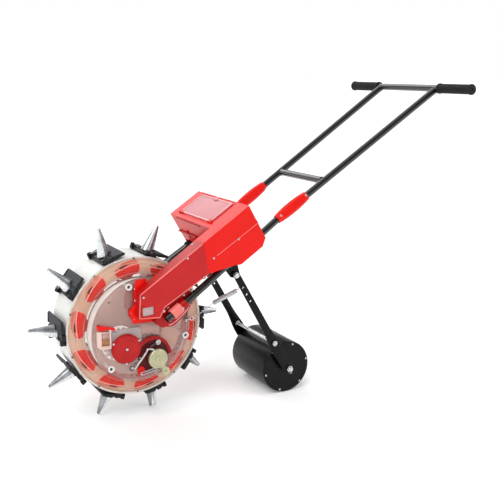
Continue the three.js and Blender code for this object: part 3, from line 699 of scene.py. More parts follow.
COVER_OUTSIDE = [
    (205, -63), (205, -65.2), (204.2, -66), (198, -66), (196.4, -66.8), (190.2, -72), (188.8, -74),
    (187, -75.4), (184.6, -75.9), (182.8, -76.6), (180.6, -78.2), (176, -79.6), (170, -80.4),
    (163.6, -81), (161, -81), (160, -80.2),
]
COVER_INSIDE = [
    (160, -78.2), (163, -78), (170, -77.5), (176, -76.6), (180, -75.2), (182, -73.2), (184.4, -72.8),
    (186.2, -72.2), (187.4, -70.4), (194.6, -64.2), (196.4, -63),
]


def mirrored(shape):
    return moved(shape, Matrix.Scale(-1, 4, (0, 1, 0)))


def drum_covers():
    cover = lathe(COVER_OUTSIDE + COVER_INSIDE, 180)
    angles = [mouth_angle(i) for i in range(MOUTHS)]
    outer = near_screws([on_circle(200.6, a + 18) for a in angles], -66, 2.8, 1.4)
    inner = near_screws([on_circle(183.5, a + 3) for a in angles], -76.2, 2.8, 1.6)
    # Real beads on the cover's steps, in a pale finish that paints the ring highlights.
    bead_highlights = []
    for r, y in ((203.6, -66), (198.6, -66), (190, -72.3), (161.6, -81)):
        bead_highlights.append(lathe([(r - 0.45, y + 0.1), (r, y - 0.45), (r + 0.45, y + 0.1)], 180))
    add("near_cover_bead_highlights", joined(*bead_highlights), BEAD_HIGHLIGHT, "drum")
    add("far_cover_bead_highlights", mirrored(joined(*bead_highlights)), BEAD_HIGHLIGHT, "drum")
    add("near_cover", cover, CLEAR, "drum", stands_for="near_drum_cover")
    add("far_cover", mirrored(cover), CLEAR, "drum", stands_for="far_drum_cover")
    for label, flip in (("near", lambda shape: shape), ("far", mirrored)):
        add(f"{label}_cover_screws", flip(joined(*outer)), DARK_STEEL, "drum")
        add(f"{label}_guide_screws", flip(joined(*inner)), STEEL, "drum")


# Pockets behind the cover. Each row runs between two places: a radius and degrees ahead of the mouth.
LEAF_ROWS = [
    ((143.4, -13), (143.4, -6)), ((149, -16), (149, -2.6)), ((155.4, -17.6), (155.4, -0.8)),
    ((156.4, -18), (156.4, -0.6)), ((162, -20.6), (161, 0.6)), ((168, -21.6), (166, 1.6)),
    ((176, -22), (171, 2.2)), ((182, -22.2), (174.6, 2.6)), ((185.6, -21.6), (176.2, 2.4)),
]
SHADE_ROWS = [
    ((185.4, -21.8), (176.6, 2.2)), ((190, -21.8), (182, 1)), ((194, -20.8), (188, -1.6)),
    ((195.6, -19.4), (192.6, -7)),
]
# A pale strip painted along each pocket's outer chord, as the highlight on the cover's step.
HIGHLIGHT_LINE_ROWS = [((185.6, -23), (175.6, 3.6)), ((187.2, -23), (177.4, 3.6))]
# A dark patch painted for the shade inside each pocket's slot.
SLOT_ROWS = [
    ((182.4, -10.4), (179.8, -4)), ((185, -11.4), (182.8, -3.2)), ((187.4, -10.8), (185.8, -3.8)),
]
POCKET_BACK = -64.4


def behind_cover(radius):
    """Where the inside of the near cover stands at a radius. Inside its bore, pockets step back."""
    if radius < 156:
        return POCKET_BACK - 0.4
    places = sorted(COVER_INSIDE)
    for (r0, y0), (r1, y1) in zip(places, places[1:]):
        if radius <= r1:
            return max(-77.4, y0 + (y1 - y0) * max(0.0, radius - r0) / (r1 - r0))
    return places[-1][1]


def liner_patch(rows, depth, thickness=0.5, steps=12):
    """A skin that follows the inside of the near cover, a given depth behind it."""
    rings = []
    for (r0, a0), (r1, a1) in rows:
        front = []
        for k in range(steps + 1):
            share = k / steps
            radius = r0 + (r1 - r0) * share
            x, z = on_circle(radius, 90 + a0 + (a1 - a0) * share)
            front.append(Vector((x, behind_cover(radius) + depth, z)))
        back = [p + Vector((0, thickness, 0)) for p in reversed(front)]
        rings.append(front + back)
    return skinned(rings)


def bordered(rows, around):
    """The same rows, wider by so many degrees at both ends."""
    return [((r0, a0 - around), (r1, a1 + around)) for (r0, a0), (r1, a1) in rows]


def seed_guides():
    """Ten red pockets that turn with the drum and drop the seed into their mouths, on a beige liner."""
    front = [(r, y + 1.5) for r, y in COVER_INSIDE if r > 171] + [(197.6, -61.6)]
    back = [(r, y + 0.7) for r, y in reversed(front)]
    liner = lathe([(156.4, -75.6), (171, -75.6), *front, *back, (171, -74.9), (156.4, -74.9)], 160)
    floor_of_pocket = [(-9, 158), (4, 153), (24, 156), (44, 165), (58, 178), (64, 187)]
    wall = smooth_path([(x, 0, z) for x, z in floor_of_pocket], 4)
    trough = strip([(p.x, p.z) for p in wall], -58, 58, 2.4)
    lead = strip([(-11, 193), (-12.4, 172), (-9, 158)], -58, 58, 2.4)
    hoop = lathe([(186, -57), (192, -57), (192, -54), (186, -54)], 120)
    add("guide_hoops", joined(hoop, mirrored(hoop)), RED, "drum", stands_for="seed_guide_ring")
    layers = {
        "leaf": (liner_patch(LEAF_ROWS, 0.4), LEAF_RED),
        # pale border round each pocket's leaf, painted as the highlight on its rim
        "leaf_edge_highlight": (liner_patch(bordered(LEAF_ROWS[3:], 0.6), 0.95), ROSE_AND_HIGHLIGHT),
        "shade": (liner_patch(SHADE_ROWS, 0.6), PALE_RED),
        # painted highlight along the cover's step
        "line": (liner_patch(HIGHLIGHT_LINE_ROWS, 0.05, 0.3), PAINTED_HIGHLIGHT_LINE),
        # painted shade inside the slot
        "slot": (liner_patch(SLOT_ROWS, 0.12, 0.4), SHADED_RECESS_RED),
    }
    for label, flip in (("near", lambda shape: shape), ("far", mirrored)):
        add(f"{label}_liner", flip(liner), BACKING, "drum")
        for name, (shape, finish) in layers.items():
            ring = joined(*[moved(flip(shape), turn("Y", 90 - mouth_angle(i))) for i in range(MOUTHS)])
            add(f"{label}_guide_{name}", ring, finish, "drum")
    for i in range(MOUTHS):
        add(f"seed_guide_{i + 1:02d}", joined(trough, lead), RED, "drum", station(i))


def ring_gear():
    refined("drive_ring_gear", GEAR_CLEAR, "drum", 0.4)


# ---------- mouths ----------

TIP_R = 295
TIP_LEAN = 12  # how far the tips trail
TREAD_TOP = DRUM_R + 0.6


def beak(side, base, tip):
    """Half of a blunt cone as a curved sheet. Side -1 leads and is fixed, side 1 trails and opens."""
    arcs, levels, cap = 14, 10, 6
    shell, blunt = 1.5, 4.6
    stations = [(base + (tip - blunt - base) * k / levels, 1.0) for k in range(levels + 1)]
    for k in range(1, cap + 1):
        a = math.radians(84 * k / cap)
        stations.append((tip - blunt + blunt * math.sin(a), math.cos(a)))
    rings = []
    for z, nose in stations:
        t = (z - base) / (tip - base)
        lean = TIP_LEAN * (z - HINGE_R) / (TIP_R - HINGE_R)
        split = lean + 0.3 * side
        rx, ry = (20 - 15 * t) * nose, (18 - 13.6 * t) * nose
        hollow = max(0.15, 1 - shell / max(rx, 0.1))
        outer, inner = [], []
        for i in range(arcs + 1):
            a = math.radians(-90 + 180 * i / arcs)
            x, y = side * rx * math.cos(a), ry * math.sin(a)
            outer.append((split + x, y, z))
            inner.append((split + x * hollow, y * hollow, min(z, tip - 2)))
        rings.append(outer + inner[::-1])
    return skinned(rings)


def mouth_base():
    """Black moulded foot: hinge blocks at both ends, a socket for the beak and cross ribs."""
    z = TREAD_TOP
    deck = rounded([(-27, z), (-5.4, z), (-5.4, 213.2), (-25, 213.2), (-27, 211)], 1)
    parts = [
        plate(deck, -64, 64, bevel=0.8),
        box((-14, -13, 195), (14, 13, z)),
        box((-22, -22, z), (-6, 22, 216)),
    ]
    for y in range(-46, 47, 12):
        if abs(y) > 24:
            parts.append(box((-26, y - 1.2, 213), (-7, y + 1.2, 214.6)))
    for side in (-1, 1):
        ear = rounded([(-14, z), (4.5, z), (6, 212), (4.5, 219), (-6, 219), (-14, 215)], 2.5)
        parts.append(plate(ear, *span(side, 58.2, 66), bevel=0.7))
        block = rounded([(-27, z), (-16, z), (-16, 221), (-27, 221)], 2)
        parts.append(plate(block, *span(side, 51, 64), bevel=0.8))
    parts.append(screw((-0.5, -66, HINGE_R), NEAR, 4.4, 1.6))
    parts.append(disc(-21, 214, [(0.1, -66.6), (4, -66.6), (5, -65.6), (5, -63), (0.1, -63)], 28))
    return joined(*parts)


def mouth_hardware():
    """Hinge pin ends, the near hinge bolt, and the far return spring on its screw."""
    parts = [
        screw((-0.5, 66, HINGE_R), FAR, 3.4, 1.8),
        screw((-21.5, 57.5, 221), (0, 0, 1), 3.6, 2.2),
        swept(coil((-21, 48, 218), (-4, 48, 219), 4.6, 0.7, 6), 0.7, 6),
        swept([(-32, 48, 218), (4, 48, 219)], 1.7, 10),
    ]
    return joined(*parts)


def mouth_knob():
    knob = disc(0, 0, [(0.1, 0), (5, 0), (6.4, 1.2), (6.4, 8), (5, 10), (0.1, 10)], 24)
    cap = moved(knob, shift(-33, 48, 218) @ turn("Z", -90))
    return joined(cap, box((-32, 40, 206), (-25, 56, 214)))


def flap_pad():
    """Black press pad behind the beak, with its skirts, barrels and the beak's saddle."""
    side = [(7.6, 210.2), (7.6, 216.4), (9, 217.2), (41.5, 217.2), (43, 215.8), (43, 212.2), (41, 211.4)]
    parts = [plate(side, -DRUM_HALF, DRUM_HALF, bevel=0.9), box((3.2, -56.8, 210.2), (9, 56.8, 216.6))]
    skirt = [(10, 208.8), (22, 210), (36, 211.2), (36, 212.4), (10, 212.4)]
    for edge in (-1, 1):
        parts.append(plate(skirt, *span(edge, 59.5, 65.6), bevel=0.4))
        y0, y1 = span(edge, 24, 56.8)
        parts.append(disc(0, HINGE_R, [(2.6, y0), (4.8, y0), (4.8, y1), (2.6, y1)], 24, True))
        kerb = rounded([(11, 216), (41, 216), (41, 219), (11, 220.4)], 1)
        parts.append(plate(kerb, *span(edge, 61.2, 65.6), bevel=0.5))
    saddle = rounded([(1.2, 212), (22, 212), (22, 219), (14, 221.5), (1.2, 221.5)], 2)
    parts.append(plate(saddle, -16, 16, bevel=0.8))
    return joined(*parts)


def flap_top():
    """The textured upper face of the press pad, with ribs across it."""
    parts = [plate([(9.4, 217), (41, 217), (41, 217.9), (9.4, 217.9)], -60.5, 60.5, bevel=0.2)]
    for y in range(-57, 58, 6):
        parts.append(box((10, y - 1.1, 217.6), (40.4, y + 1.1, 218.3)))
    return joined(*parts)


def mouths():
    fixed = {
        "foot": (mouth_base(), BLACK, 0.4),
        "knob": (mouth_knob(), BLACK, 0.3),
        "hardware": (mouth_hardware(), STEEL, 0),
        "beak": (beak(-1, HINGE_R - 1, TIP_R), LIT_BEAK_STEEL, 0),
    }
    moving = {
        "pad": (flap_pad(), BLACK, 0.4),
        "tread": (flap_top(), PAD_GREY, 0.2),
        "jaw": (beak(1, HINGE_R + 1, TIP_R - 1.5), SHADED_JAW_STEEL, 0),
    }
    for i in range(MOUTHS):
        mouth, flap = f"mouth_{i + 1:02d}", f"flap_{i + 1:02d}"
        for part, (shape, finish, bevel) in fixed.items():
            stands_for = mouth if part == "foot" else ""
            add(f"{mouth}_{part}", shape, finish, "drum", station(i), bevel, stands_for=stands_for)
        for part, (shape, finish, bevel) in moving.items():
            stands_for = flap if part == "pad" else ""
            add(f"{flap}_{part}", shape, finish, flap, flap_station(i), bevel, stands_for=stands_for)


# ---------- stationary core ----------

CORE_R = 147
CORE_FACE = 112
TIE_ANGLES = (105.6, 225.6, 345.6)
TIE_R = 137.6
CHUTE_MOUTH = (-8, 52, 34, 92)
SIGHT = (-135, -32, -95, 20)


def core_band():
    """The clear rim of the core: a drum wall with a broad bevel towards its face."""
    outside = [
        (146.6, -110.6), (149, -110.2), (152.4, -107.4), (155.2, -103), (156.6, -96), (157.4, -86),
        (158.2, -79.4),
    ]
    inside = [
        (158.2, -78), (155, -78), (154.4, -86), (153.4, -96), (151.6, -102.4), (149, -106),
        (146.6, -107.6),
    ]
    band = lathe(outside + inside, 180)
    add("near_band", band, BAND, stands_for="near_core_band")
    add("far_band", mirrored(band), BAND, stands_for="far_core_band")
    # A pale sheet painted on as the highlight of the clear band.
    add("near_rim_painted_highlight", painted_rim_highlight(), PAINTED_RIM_HIGHLIGHT)


def painted_rim_highlight(steps=40):
    """A pale sheet painted inside the near rim, over the upper left of the core, as the highlight on the
    clear band. It thins out at both ends.
    """
    middle = Vector((151.2, -100.6))
    edge = [(147.4, -106.6), (149.4, -104.6), (151.2, -101), (152.6, -96), (153.6, -89)]
    rings = []
    for k in range(steps + 1):
        share = k / steps
        swell = max(0.02, min(1.0, 3.2 * share, 3.2 * (1 - share)))
        x, z = on_circle(1, 88 + 130 * share)
        front = [middle + (Vector(p) - middle) * swell for p in edge]
        ring = front + [p - Vector((0.7, -0.2)) for p in reversed(front)]
        rings.append([(r * x, y, r * z) for r, y in ring])
    return skinned(rings)


def core_plates():
    ties = [circle(*on_circle(TIE_R, a), 4.6, 20) for a in TIE_ANGLES]
    sight = rectangle(SIGHT[0] + 12, SIGHT[1] + 6, SIGHT[2] - 4, SIGHT[3] - 8)
    holes = [rectangle(*CHUTE_MOUTH), circle(*METER, 36), circle(*IDLER, 6.5, 24), sight, *ties]
    disc_edge = circle(0, 0, CORE_R, 160)
    near = plate(disc_edge, -CORE_FACE, -109.8, holes, 0.5)
    far = plate(disc_edge, 109.8, CORE_FACE, ties, 0.5)
    add("near_plate", near, CORE_CLEAR, stands_for="near_core_plate")
    add("far_plate", far, CORE_CLEAR, stands_for="far_core_plate")
    bead = [(142.4, -112), (142.8, -113), (145.2, -113), (145.6, -112)]
    add("near_plate_bead", lathe(bead, 160), CORE_CLEAR)
    bosses = [circle(*on_circle(TIE_R, a), 5, 20) for a in TIE_ANGLES]
    back_holes = [circle(*METER, 52), circle(*IDLER, 12, 24), *bosses]
    add("core_back", plate(circle(0, 0, 146, 120), -62, -60.6, back_holes, 0.3), CORE_BACK)
    places = [on_circle(134, a) for a in (40, 75, 135, 165, 195, 255, 262, 290, 318)]
    add("near_plate_screws", joined(*near_screws(places, -112, 2.4, 1.2)), DARK_STEEL)
    core_inside()


def core_inside():
    """What shows through the core's clear face: the seed box under the chute and a pale web."""
    wall = rounded([(-46, 116), (-36, 128), (-12, 139), (-20, 79), (-32, 64), (-48, 70), (-50, 80)], 3)
    add("core_seed_box", plate(wall, -109, -106.5, bevel=0.4), INNER_BROWN)
    web = rounded([(54, 8), (88, 0), (117, -20), (104, -62), (74, -46), (56, -28)], 4)
    add("core_web", plate(web, -109, -107, bevel=0.4), BACKING)
    shelf = rounded([
        (-85, 4), (-40, 5), (-22, 14), (14, 16), (61, 5), (59, -22), (26, -14), (-11, -10),
    ], 3)
    add("core_shelf", plate(shelf, -109, -107, bevel=0.4), CORE_BACK)


def tie_bolts():
    boss = [
        (4.4, -112.4), (8.6, -112.4), (9.4, -113.2), (9.8, -117.6), (9, -119), (7.4, -119.3),
        (5.6, -118.6), (4.6, -116), (4.4, -113),
    ]
    sleeve = [(3.9, -112), (4.3, -112), (4.3, 112), (3.9, 112)]
    for k, angle in enumerate(TIE_ANGLES):
        x, z = on_circle(TIE_R, angle)
        ring = lathe(boss, 40)
        body = moved(joined(ring, mirrored(ring), lathe(sleeve, 24)), shift(x, 0, z))
        add(f"tie_boss_{k + 1}", body, WHITE, stands_for=f"tie_bolt_{k + 1}")
        heads = [hex_nut((x, side * 112.6, z), (0, side, 0), 7.4, 3.2) for side in (-1, 1)]
        add(f"tie_head_{k + 1}", joined(*heads), DARK_STEEL)


CAP_SCREWS = (28, 152, 268)


def metering():
    x, z = METER
    outline = rounded([(-93, 9), (-52, 14), (-4, 12), (-2, -42), (-6, -88), (-60, -96), (-93, -60)], 8)
    face = plate(outline, -115.5, -112.3, [circle(x, z, 30.5)], 0.6)
    wall = [(30.5, -113), (34.5, -113), (34.5, -77.5), (6.5, -77.5), (6.5, -80.5), (30.5, -80.5)]
    add("metering_face", face, GREY, stands_for="metering_housing")
    add("metering_bowl", disc(x, z, wall, 72, True), GREY)
    cap = [
        (0.1, -126), (5, -126), (6, -125.4), (30, -125.4), (31, -126), (37.5, -126), (39.4, -125.6),
        (40.6, -124), (41, -122.6), (43, -122.4), (43.4, -121.4), (43.4, -116.4), (42.6, -115.8),
        (0.1, -115.8),
    ]
    ear = [(0.1, -122.2), (5, -122.2), (5.6, -121.6), (5.6, -116), (0.1, -116)]
    ears = [disc(*on_circle(42, a, (x, z)), ear, 28) for a in CAP_SCREWS]
    add("metering_disc", joined(disc(x, z, cap, 120), *ears), CAP_RED, stands_for="metering_cap")
    studs = near_screws([METER], -126, 4, 2.2)
    studs += near_screws([on_circle(43, a, METER) for a in CAP_SCREWS], -122.2, 3.6, 2)
    studs += near_screws([(-84, 4), (-86, -52), (-58, -89), (-10, -80), (-9, 5)], -115.5, 2.8, 1.6)
    add("metering_screws", joined(*studs), STEEL)
    refined("metering_roller", WHITE, "metering_roller", 0.3)


def idler():
    x, z = IDLER
    refined("idler_gear", GEAR_GREY, "idler", 0.2)
    rim = [
        (0.1, -135.6), (2.4, -135.6), (3, -134.8), (5.6, -134.8), (6.2, -135.6), (9.4, -135.6),
        (10, -132.8), (14, -132.8), (14.6, -133.8), (17.4, -133.8), (18, -132.5), (22, -132.5),
        (22.8, -134), (26.6, -134), (28.4, -132.4), (28.4, -124), (27.4, -122.8), (9, -122.8),
    ]
    add("idler_knob", disc(x, z, rim, 96), ZINC, "idler")
    teeth = []
    for k in range(44):
        a = 360 * k / 44
        px, pz = on_circle(28.4, a, (x, z))
        teeth.append(moved(box((-0.9, -131, -0.8), (0.9, -124.6, 0.8)), shift(px, 0, pz) @ turn("Y", -a)))
    add("idler_knurl", joined(*teeth), ZINC, "idler")
    idler_guard()


def flat_curve(corners, steps=5):
    """A smooth path through corners in the X-Z plane."""
    return [(p.x, p.z) for p in smooth_path([(x, 0, z) for x, z in corners], steps)]


def idler_guard():
    """The dark red crescent round the wheel: its floor and the recess within it, both painted darker for
    the shade in the hollow, a lip and a foot.
    """
    outer = flat_curve([
        (-14, -50), (-10, -42), (-1, -33), (14, -25), (32, -22), (51, -27), (69, -41), (80, -60), (86, -80),
    ])
    inner = flat_curve([
        (74, -82), (69, -66), (58, -50), (44, -41), (28, -40), (14, -47), (4, -60), (0, -76), (4, -92),
        (14, -104),
    ])
    floor = outer + inner + [(8, -118), (-4, -112), (-8, -96), (-16, -84)]
    # Crescent floor and recess painted darker for the shade in the hollow.
    add("idler_guard", plate(floor, -116.5, -112.4, bevel=0.5), SHADED_RECESS_RED, stands_for="idler_cover")
    low = rounded([
        (76, -84), (70, -66), (58, -51), (44, -42), (28, -41), (14, -47), (3, -58), (-6, -74), (-12, -92),
        (-12, -112), (8, -123), (36, -121), (50, -112), (62, -104),
    ], 3)
    add("idler_recess", plate(low, -117, -114, [circle(*IDLER, 7, 24)], 0.4), SHADED_RECESS_RED)
    lip = strip(outer, -121.2, -112.4, 3)
    band = strip([(x * 0.94 + 2.2, z * 0.9 - 8) for x, z in outer], -118.8, -112.4, 6.5)
    add("idler_guard_lip", joined(lip, band), DEEP_RED, bevel=0.6)
    foot = rounded([(-17, -108), (-9, -103), (-1, -108), (4, -117), (-3, -131), (-16, -130)], 2)
    add("idler_cover_foot", plate(foot, -121.5, -112.4, bevel=0.8), RED)


def wires():
    """A bent steel lever from the wheel to its hook, a two-pronged fork below, and a zinc tab."""
    lever = [
        (29, -129, -60), (24, -129, -56), (13, -129, -53), (8, -129, -55), (-1, -129.5, -68),
        (-32, -129.5, -105),
    ]
    add("lever_wire", bent(lever, 3.3, 14, 8), STEEL, stands_for="wire_lever")
    link = [(45, -121, -40), (34, -121, -43), (22, -122, -50)]
    hook = [(-30, -127, -99), (-38, -127, -96), (-45, -127, -100), (-43, -127, -107), (-35, -127, -109)]
    add("lever_hook", joined(bent(hook, 1.8, 10), swept(link, 2.2, 10)), DARK_STEEL)
    fork = [
        (38, -126, -113), (10, -126, -117.5), (-8, -126, -120.5), (-12, -126, -124), (-8, -126, -127.5),
        (10, -126, -124.5), (40, -126, -119.5),
    ]
    add("lever_fork", bent(fork, 1.7), STEEL)
    tab = rounded([
        (50, -102), (60, -108), (66, -116), (76, -122), (80, -134), (70, -148), (58, -144), (54, -126),
    ], 4)
    add("lever_tab", plate(tab, -124.5, -121.5, [circle(66, -130, 4, 20)], 0.5), ZINC)
    studs = [
        screw((45, -122.4, -40), NEAR, 5.4, 3),
        screw((-39, -127.5, -101), NEAR, 3.6, 2.4),
        disc(45, -40, [(0.1, -121), (7.4, -121), (7.4, -122.4), (0.1, -122.4)], 32),
    ]
    add("lever_screws", joined(*studs), STEEL)


def sight_window():
    """A small lidded box: a pale moulded frame, a clear pane, and seed halfway up behind it."""
    x0, z0, x1, z1 = SIGHT
    top = z1 - 6
    opening = rounded([(x0 + 12, z0 + 6), (x1 - 4, z0 + 4), (x1 - 4, top - 3), (x0 + 12, top - 1)], 1.5)
    outline = rounded([(x0, z0 + 3), (x0 + 10, z0), (x1, z0 - 2), (x1, top - 2), (x0, top + 4)], 4)
    surround = plate(outline, -122.5, -112.4, [opening], 0.9)
    add("sight_frame", surround, WINDOW_FRAME, stands_for="seed_window")
    lip = strip([(x0 + 2, z0 + 3), (x0 + 12, z0 - 0.4), (x1 - 1, z0 - 1.4)], -125.5, -120, 3)
    add("sight_lip", lip, WINDOW_FRAME, bevel=0.6)
    add("sight_pane", plate(opening, -119.4, -118.2, bevel=0.2), CLEAR)
    back = plate(rectangle(x0 + 10, z0 + 3, x1 - 3, top), -113.6, -112.6, bevel=0.2)
    add("sight_back", back, CORE_BACK)
    heap = rectangle(x0 + 12.6, z0 + 6, x1 - 4.6, z0 + 25)
    add("sight_seed", plate(heap, -117.6, -113.8, bevel=0.4), SEED)
    refined("seed_window_flap", RED, bevel=1.0)


# ---------- seed chute and hopper ----------

# The hopper's red plastic, painted darker on the chute for the shade on its near side.
SHADED_CHUTE_RED = look(
    "red_plastic", "chute_red_painted_shade", (194, 30, 32), 0.4, (182, 26, 29),
    grain=700, bump=0.03, Specular_IOR_Level=0.3,
)
PALE_GLASS = look(
    "clear_cover", "pale_glass", (196, 176, 174), 0.2, (182, 160, 158),
    grain=260, bump=0.02, Alpha=0.88, Specular_IOR_Level=0.7,
)
HOPPER_HALF = 166.7
CHUTE_LOW_Y = -148
CHUTE_TOP = on_slope(277, 0, 113)
CHUTE_BOTTOM = on_slope(241, 0, 28)


def chute_y(x):
    """Where the chute's near wall stands at x."""
    share = max(0.0, min(1.0, (x + 20) / (CHUTE_TOP[0] + 20)))
    return CHUTE_LOW_Y + (-HOPPER_HALF - CHUTE_LOW_Y) * share


def chute_highlight_rod(corners):
    """A pale rod along the chute's near edge, painted as the highlight the edge catches, stepped finely so
    that it follows the taper.
    """
    fine = []
    for (x0, z0), (x1, z1) in zip(corners, corners[1:]):
        fine += [(x0 + (x1 - x0) * k / 6, z0 + (z1 - z0) * k / 6) for k in range(6)]
    fine.append(corners[-1])
    return swept([(x, chute_y(x) + 0.4, z) for x, z in fine], 1.7, 12)


def chute():
    refined("seed_chute", SHADED_CHUTE_RED, bevel=1.1)
    upper = [(-19.4, 47), (-15.4, 114.6), (CHUTE_TOP[0] - 2.5, CHUTE_TOP[2] - 2.6)]
    lower = [(-19, 46.6), (39, 42.8), (53.6, 71.8), (165, 141.4)]
    lower.append((CHUTE_BOTTOM[0] - 2, CHUTE_BOTTOM[2] - 1))
    # Pale rods painted along the chute's edges as their highlights.
    add("chute_edge_highlights", joined(chute_highlight_rod(upper), chute_highlight_rod(lower)), ROSE_AND_HIGHLIGHT)
    flange = rounded([
        (14, 152), (-15, 152), (-22, 140), (-19, 84), (-41, 63), (-29, 25), (60, 22), (65, 36), (57, 46),
        (40, 43.6), (-17.6, 47.4), (-14, 112), (14, 134),
    ], 2)
    add("chute_flange", plate(flange, -120.6, -118.6, bevel=0.5), RED)
    chute_window()
    chute_screws()


def chute_window(middle=5.5):
    """The pale pane low on the chute and the border round it, turned to the tapered wall."""
    taper = turn("Z", math.degrees(math.atan2(HOPPER_HALF + CHUTE_LOW_Y, CHUTE_TOP[0] + 20)))
    y = chute_y(middle)
    pane = plate([(x - middle, z) for x, z in rectangle(-12.6, 52.4, 23.6, 77.6)], -0.8, 0.8, bevel=0.2)
    add("chute_pane", moved(pane, shift(middle, y + 1.4, 0) @ taper), PALE_GLASS)
    border = strip([(x - middle, z) for x, z in rectangle(-13, 52, 24, 78, 2)], -0.9, 0.6, 1.6, True)
    add("chute_window_border", moved(border, shift(middle, y - 0.2, 0) @ taper), SHADED_CHUTE_RED)


def chute_screws():
    studs, bosses = [], []
    for x, z in ((-7, 106), (123, 206), (51, 60), (172, 146)):
        y = chute_y(x)
        boss = [(0.1, y + 1), (5.4, y + 1), (5.4, y - 0.7), (4.6, y - 1.1), (0.1, y - 1.1)]
        bosses.append(disc(x, z, boss, 32))
        studs.append(screw((x, y - 1, z), NEAR, 3.6, 1.8))
    roof_start, roof_end = Vector((-16, -124, 116)), Vector((CHUTE_TOP[0], -124, CHUTE_TOP[2]))
    uphill = roof_end - roof_start
    studs.append(screw(roof_start + uphill * 0.92, (-uphill.z, 0, uphill.x), 3.6, 1.8))
    add("chute_bosses", joined(*bosses), SHADED_CHUTE_RED)
    add("chute_screws", joined(*studs), STEEL)
    places = [(-33, 58), (-20, 126), (-26, 38), (60, 50), (-20, 92)]
    add("chute_flange_screws", joined(*near_screws(places, -119, 3, 1.6)), STEEL)


# Outlines here lie on the hopper's top: X up the slope, Z towards the near side.
LID_SPACE = SLOPE_FRAME @ turn("X", 90)


def hopper():
    refined("hopper_body", RED, bevel=1.5)
    half = HOPPER_HALF
    seams = [
        [(290, -half - 0.1, 55.4), (446.8, -half - 0.1, 52.2)],
        [(330, half + 0.1, 54.6), (446.8, half + 0.1, 52.2)],
        [(448.2, -half + 3, 52.2), (448.2, half - 3, 52.2)],
    ]
    add("hopper_seams", joined(*[swept(seam, 1.1, 10) for seam in seams]), ROSE_AND_HIGHLIGHT, space=SLOPE_FRAME)
    rod = swept([(325.6, 40, 49), (325.6, 166, 49)], 3.2, 14)
    tick = swept([(326.4, 96, 61), (325, 96, 35)], 2.6, 12)
    add("hopper_front_rod", joined(rod, tick), CAP_RED, space=SLOPE_FRAME)
    groove = swept([(330.6, -40, 104.6), (330.8, 128, 105.4)], 2.0, 10)
    add("hopper_front_groove", groove, DEEP_RED, space=SLOPE_FRAME)
    rear = [box((446, y - 9, 46), (453.6, y + 9, 58)) for y in (-148, 148)]
    add("hopper_rear_tabs", joined(*rear), RED, space=SLOPE_FRAME, bevel=1)
    foot = [(325.5, -8), (338.6, -15.6), (423, -15.6), (444.6, 0)]
    lips = [swept([(u, y, v) for u, v in foot], 1.4, 10) for y in (-half + 1, half - 1)]
    add("hopper_foot_lips", joined(*lips), RED, space=SLOPE_FRAME)
    places = [(-1, 372, 52), (-1, 278, 56), (1, 372, 52), (1, 436, 52)]
    studs = [screw((u, side * (half + 0.1), v), (0, side, 0), 3.6, 2.4) for side, u, v in places]
    add("hopper_screws", joined(*studs), STEEL, space=SLOPE_FRAME)


def hopper_lid():
    y0, y1 = -119, 86
    u0, u1 = 353, 440
    sheet = plate(rectangle(u0 - 2.6, y0 - 2.6, u1 + 2.6, y1 + 2.6, 5), 114, 116, bevel=0.5)
    add("lid_sheet", sheet, LID, "hopper_lid", LID_SPACE, stands_for="hopper_lid")
    raised = strip(rectangle(u0 + 1.5, y0 + 1.5, u1 - 1.5, y1 - 1.5, 4), 115.6, 117.2, 2.2, True)
    add("lid_ridge", raised, LID_EDGE, "hopper_lid", LID_SPACE, bevel=0.4)
    middle = (y0 + y1) / 2
    latch = plate(rectangle(u1 - 9, middle - 13, u1 + 5.6, middle + 13, 4), 115.8, 118.6, bevel=0.8)
    rib = box((u1 - 5, 117.8, middle - 9), (u1 - 2.4, 119, middle + 9))
    add("lid_latch", joined(latch, rib), LID, "hopper_lid", LID_SPACE, bevel=0.3)
    lugs, seats = [], []
    for y in (y0 + 4, y1 - 4):
        lugs.append(swept([(u0 - 1.8, 116.2, y - 6.6), (u0 - 1.8, 116.2, y + 6.6)], 2.2, 14))
        lugs.append(box((u0 - 1.8, 114.4, y - 6), (u0 + 7, 117.2, y + 6)))
        for edge in (-9.4, 9.4):
            seats.append(box((u0 - 6.4, 112.4, y + edge - 1.8), (u0 + 1.4, 117.8, y + edge + 1.8)))
    add("lid_lugs", joined(*lugs), RED, "hopper_lid", LID_SPACE, bevel=0.3)
    add("lid_hinge_seats", joined(*seats), RED, space=LID_SPACE, bevel=0.8)
    kerb = strip(rectangle(u0 - 7.6, y0 - 7.6, u1 + 9, y1 + 7.6, 6), 112.4, 114.2, 2, True)
    add("lid_kerb", kerb, RED, space=LID_SPACE, bevel=0.5)


# ---------- frame tubes and handle ----------

TUBE_R = 11
TUBE_BORE = 9.4
LOWER_START = Vector((73, 161))  # places along a tube: up the slope, and out from the middle
COUPLER_START = Vector((520.5, 124.8))
COUPLER_END = Vector((650, 128.1))
MID_BAR = Vector((717, 129.7))
TOP_BAR = Vector((TOP_BAR_U, 142))
HANDLE_HALF = 303


def between(a, b, u):
    return a.y + (b.y - a.y) * (u - a.x) / (b.x - a.x)


def lower_at(u, side):
    return Vector((u, side * between(LOWER_START, COUPLER_START, u), 0))


def upper_at(u, side):
    return Vector((u, side * between(MID_BAR, TOP_BAR, u), 0))


def laid(shape, start, end):
    """A shape made along Y, laid on the line from start towards end."""
    spin = (Vector(end) - Vector(start)).to_track_quat("Y", "Z").to_matrix().to_4x4()
    return moved(shape, Matrix.Translation(start) @ spin)


def pipe(start, end, edge=0.6):
    length = (Vector(end) - Vector(start)).length
    section = [
        (TUBE_BORE, 0), (TUBE_R - edge, 0), (TUBE_R, edge),
        (TUBE_R, length - edge), (TUBE_R - edge, length), (TUBE_BORE, length),
    ]
    return laid(lathe(section, 40), start, end)


def weld(centre, axis, radius, bead=1.5):
    """A bead of weld round a joint."""
    ring = [(*on_circle(radius + 0.25 * math.sin(k * 1.3), 360 * k / 48), 0) for k in range(48)]
    return aimed(swept(ring, bead, 8, closed=True), centre, axis)


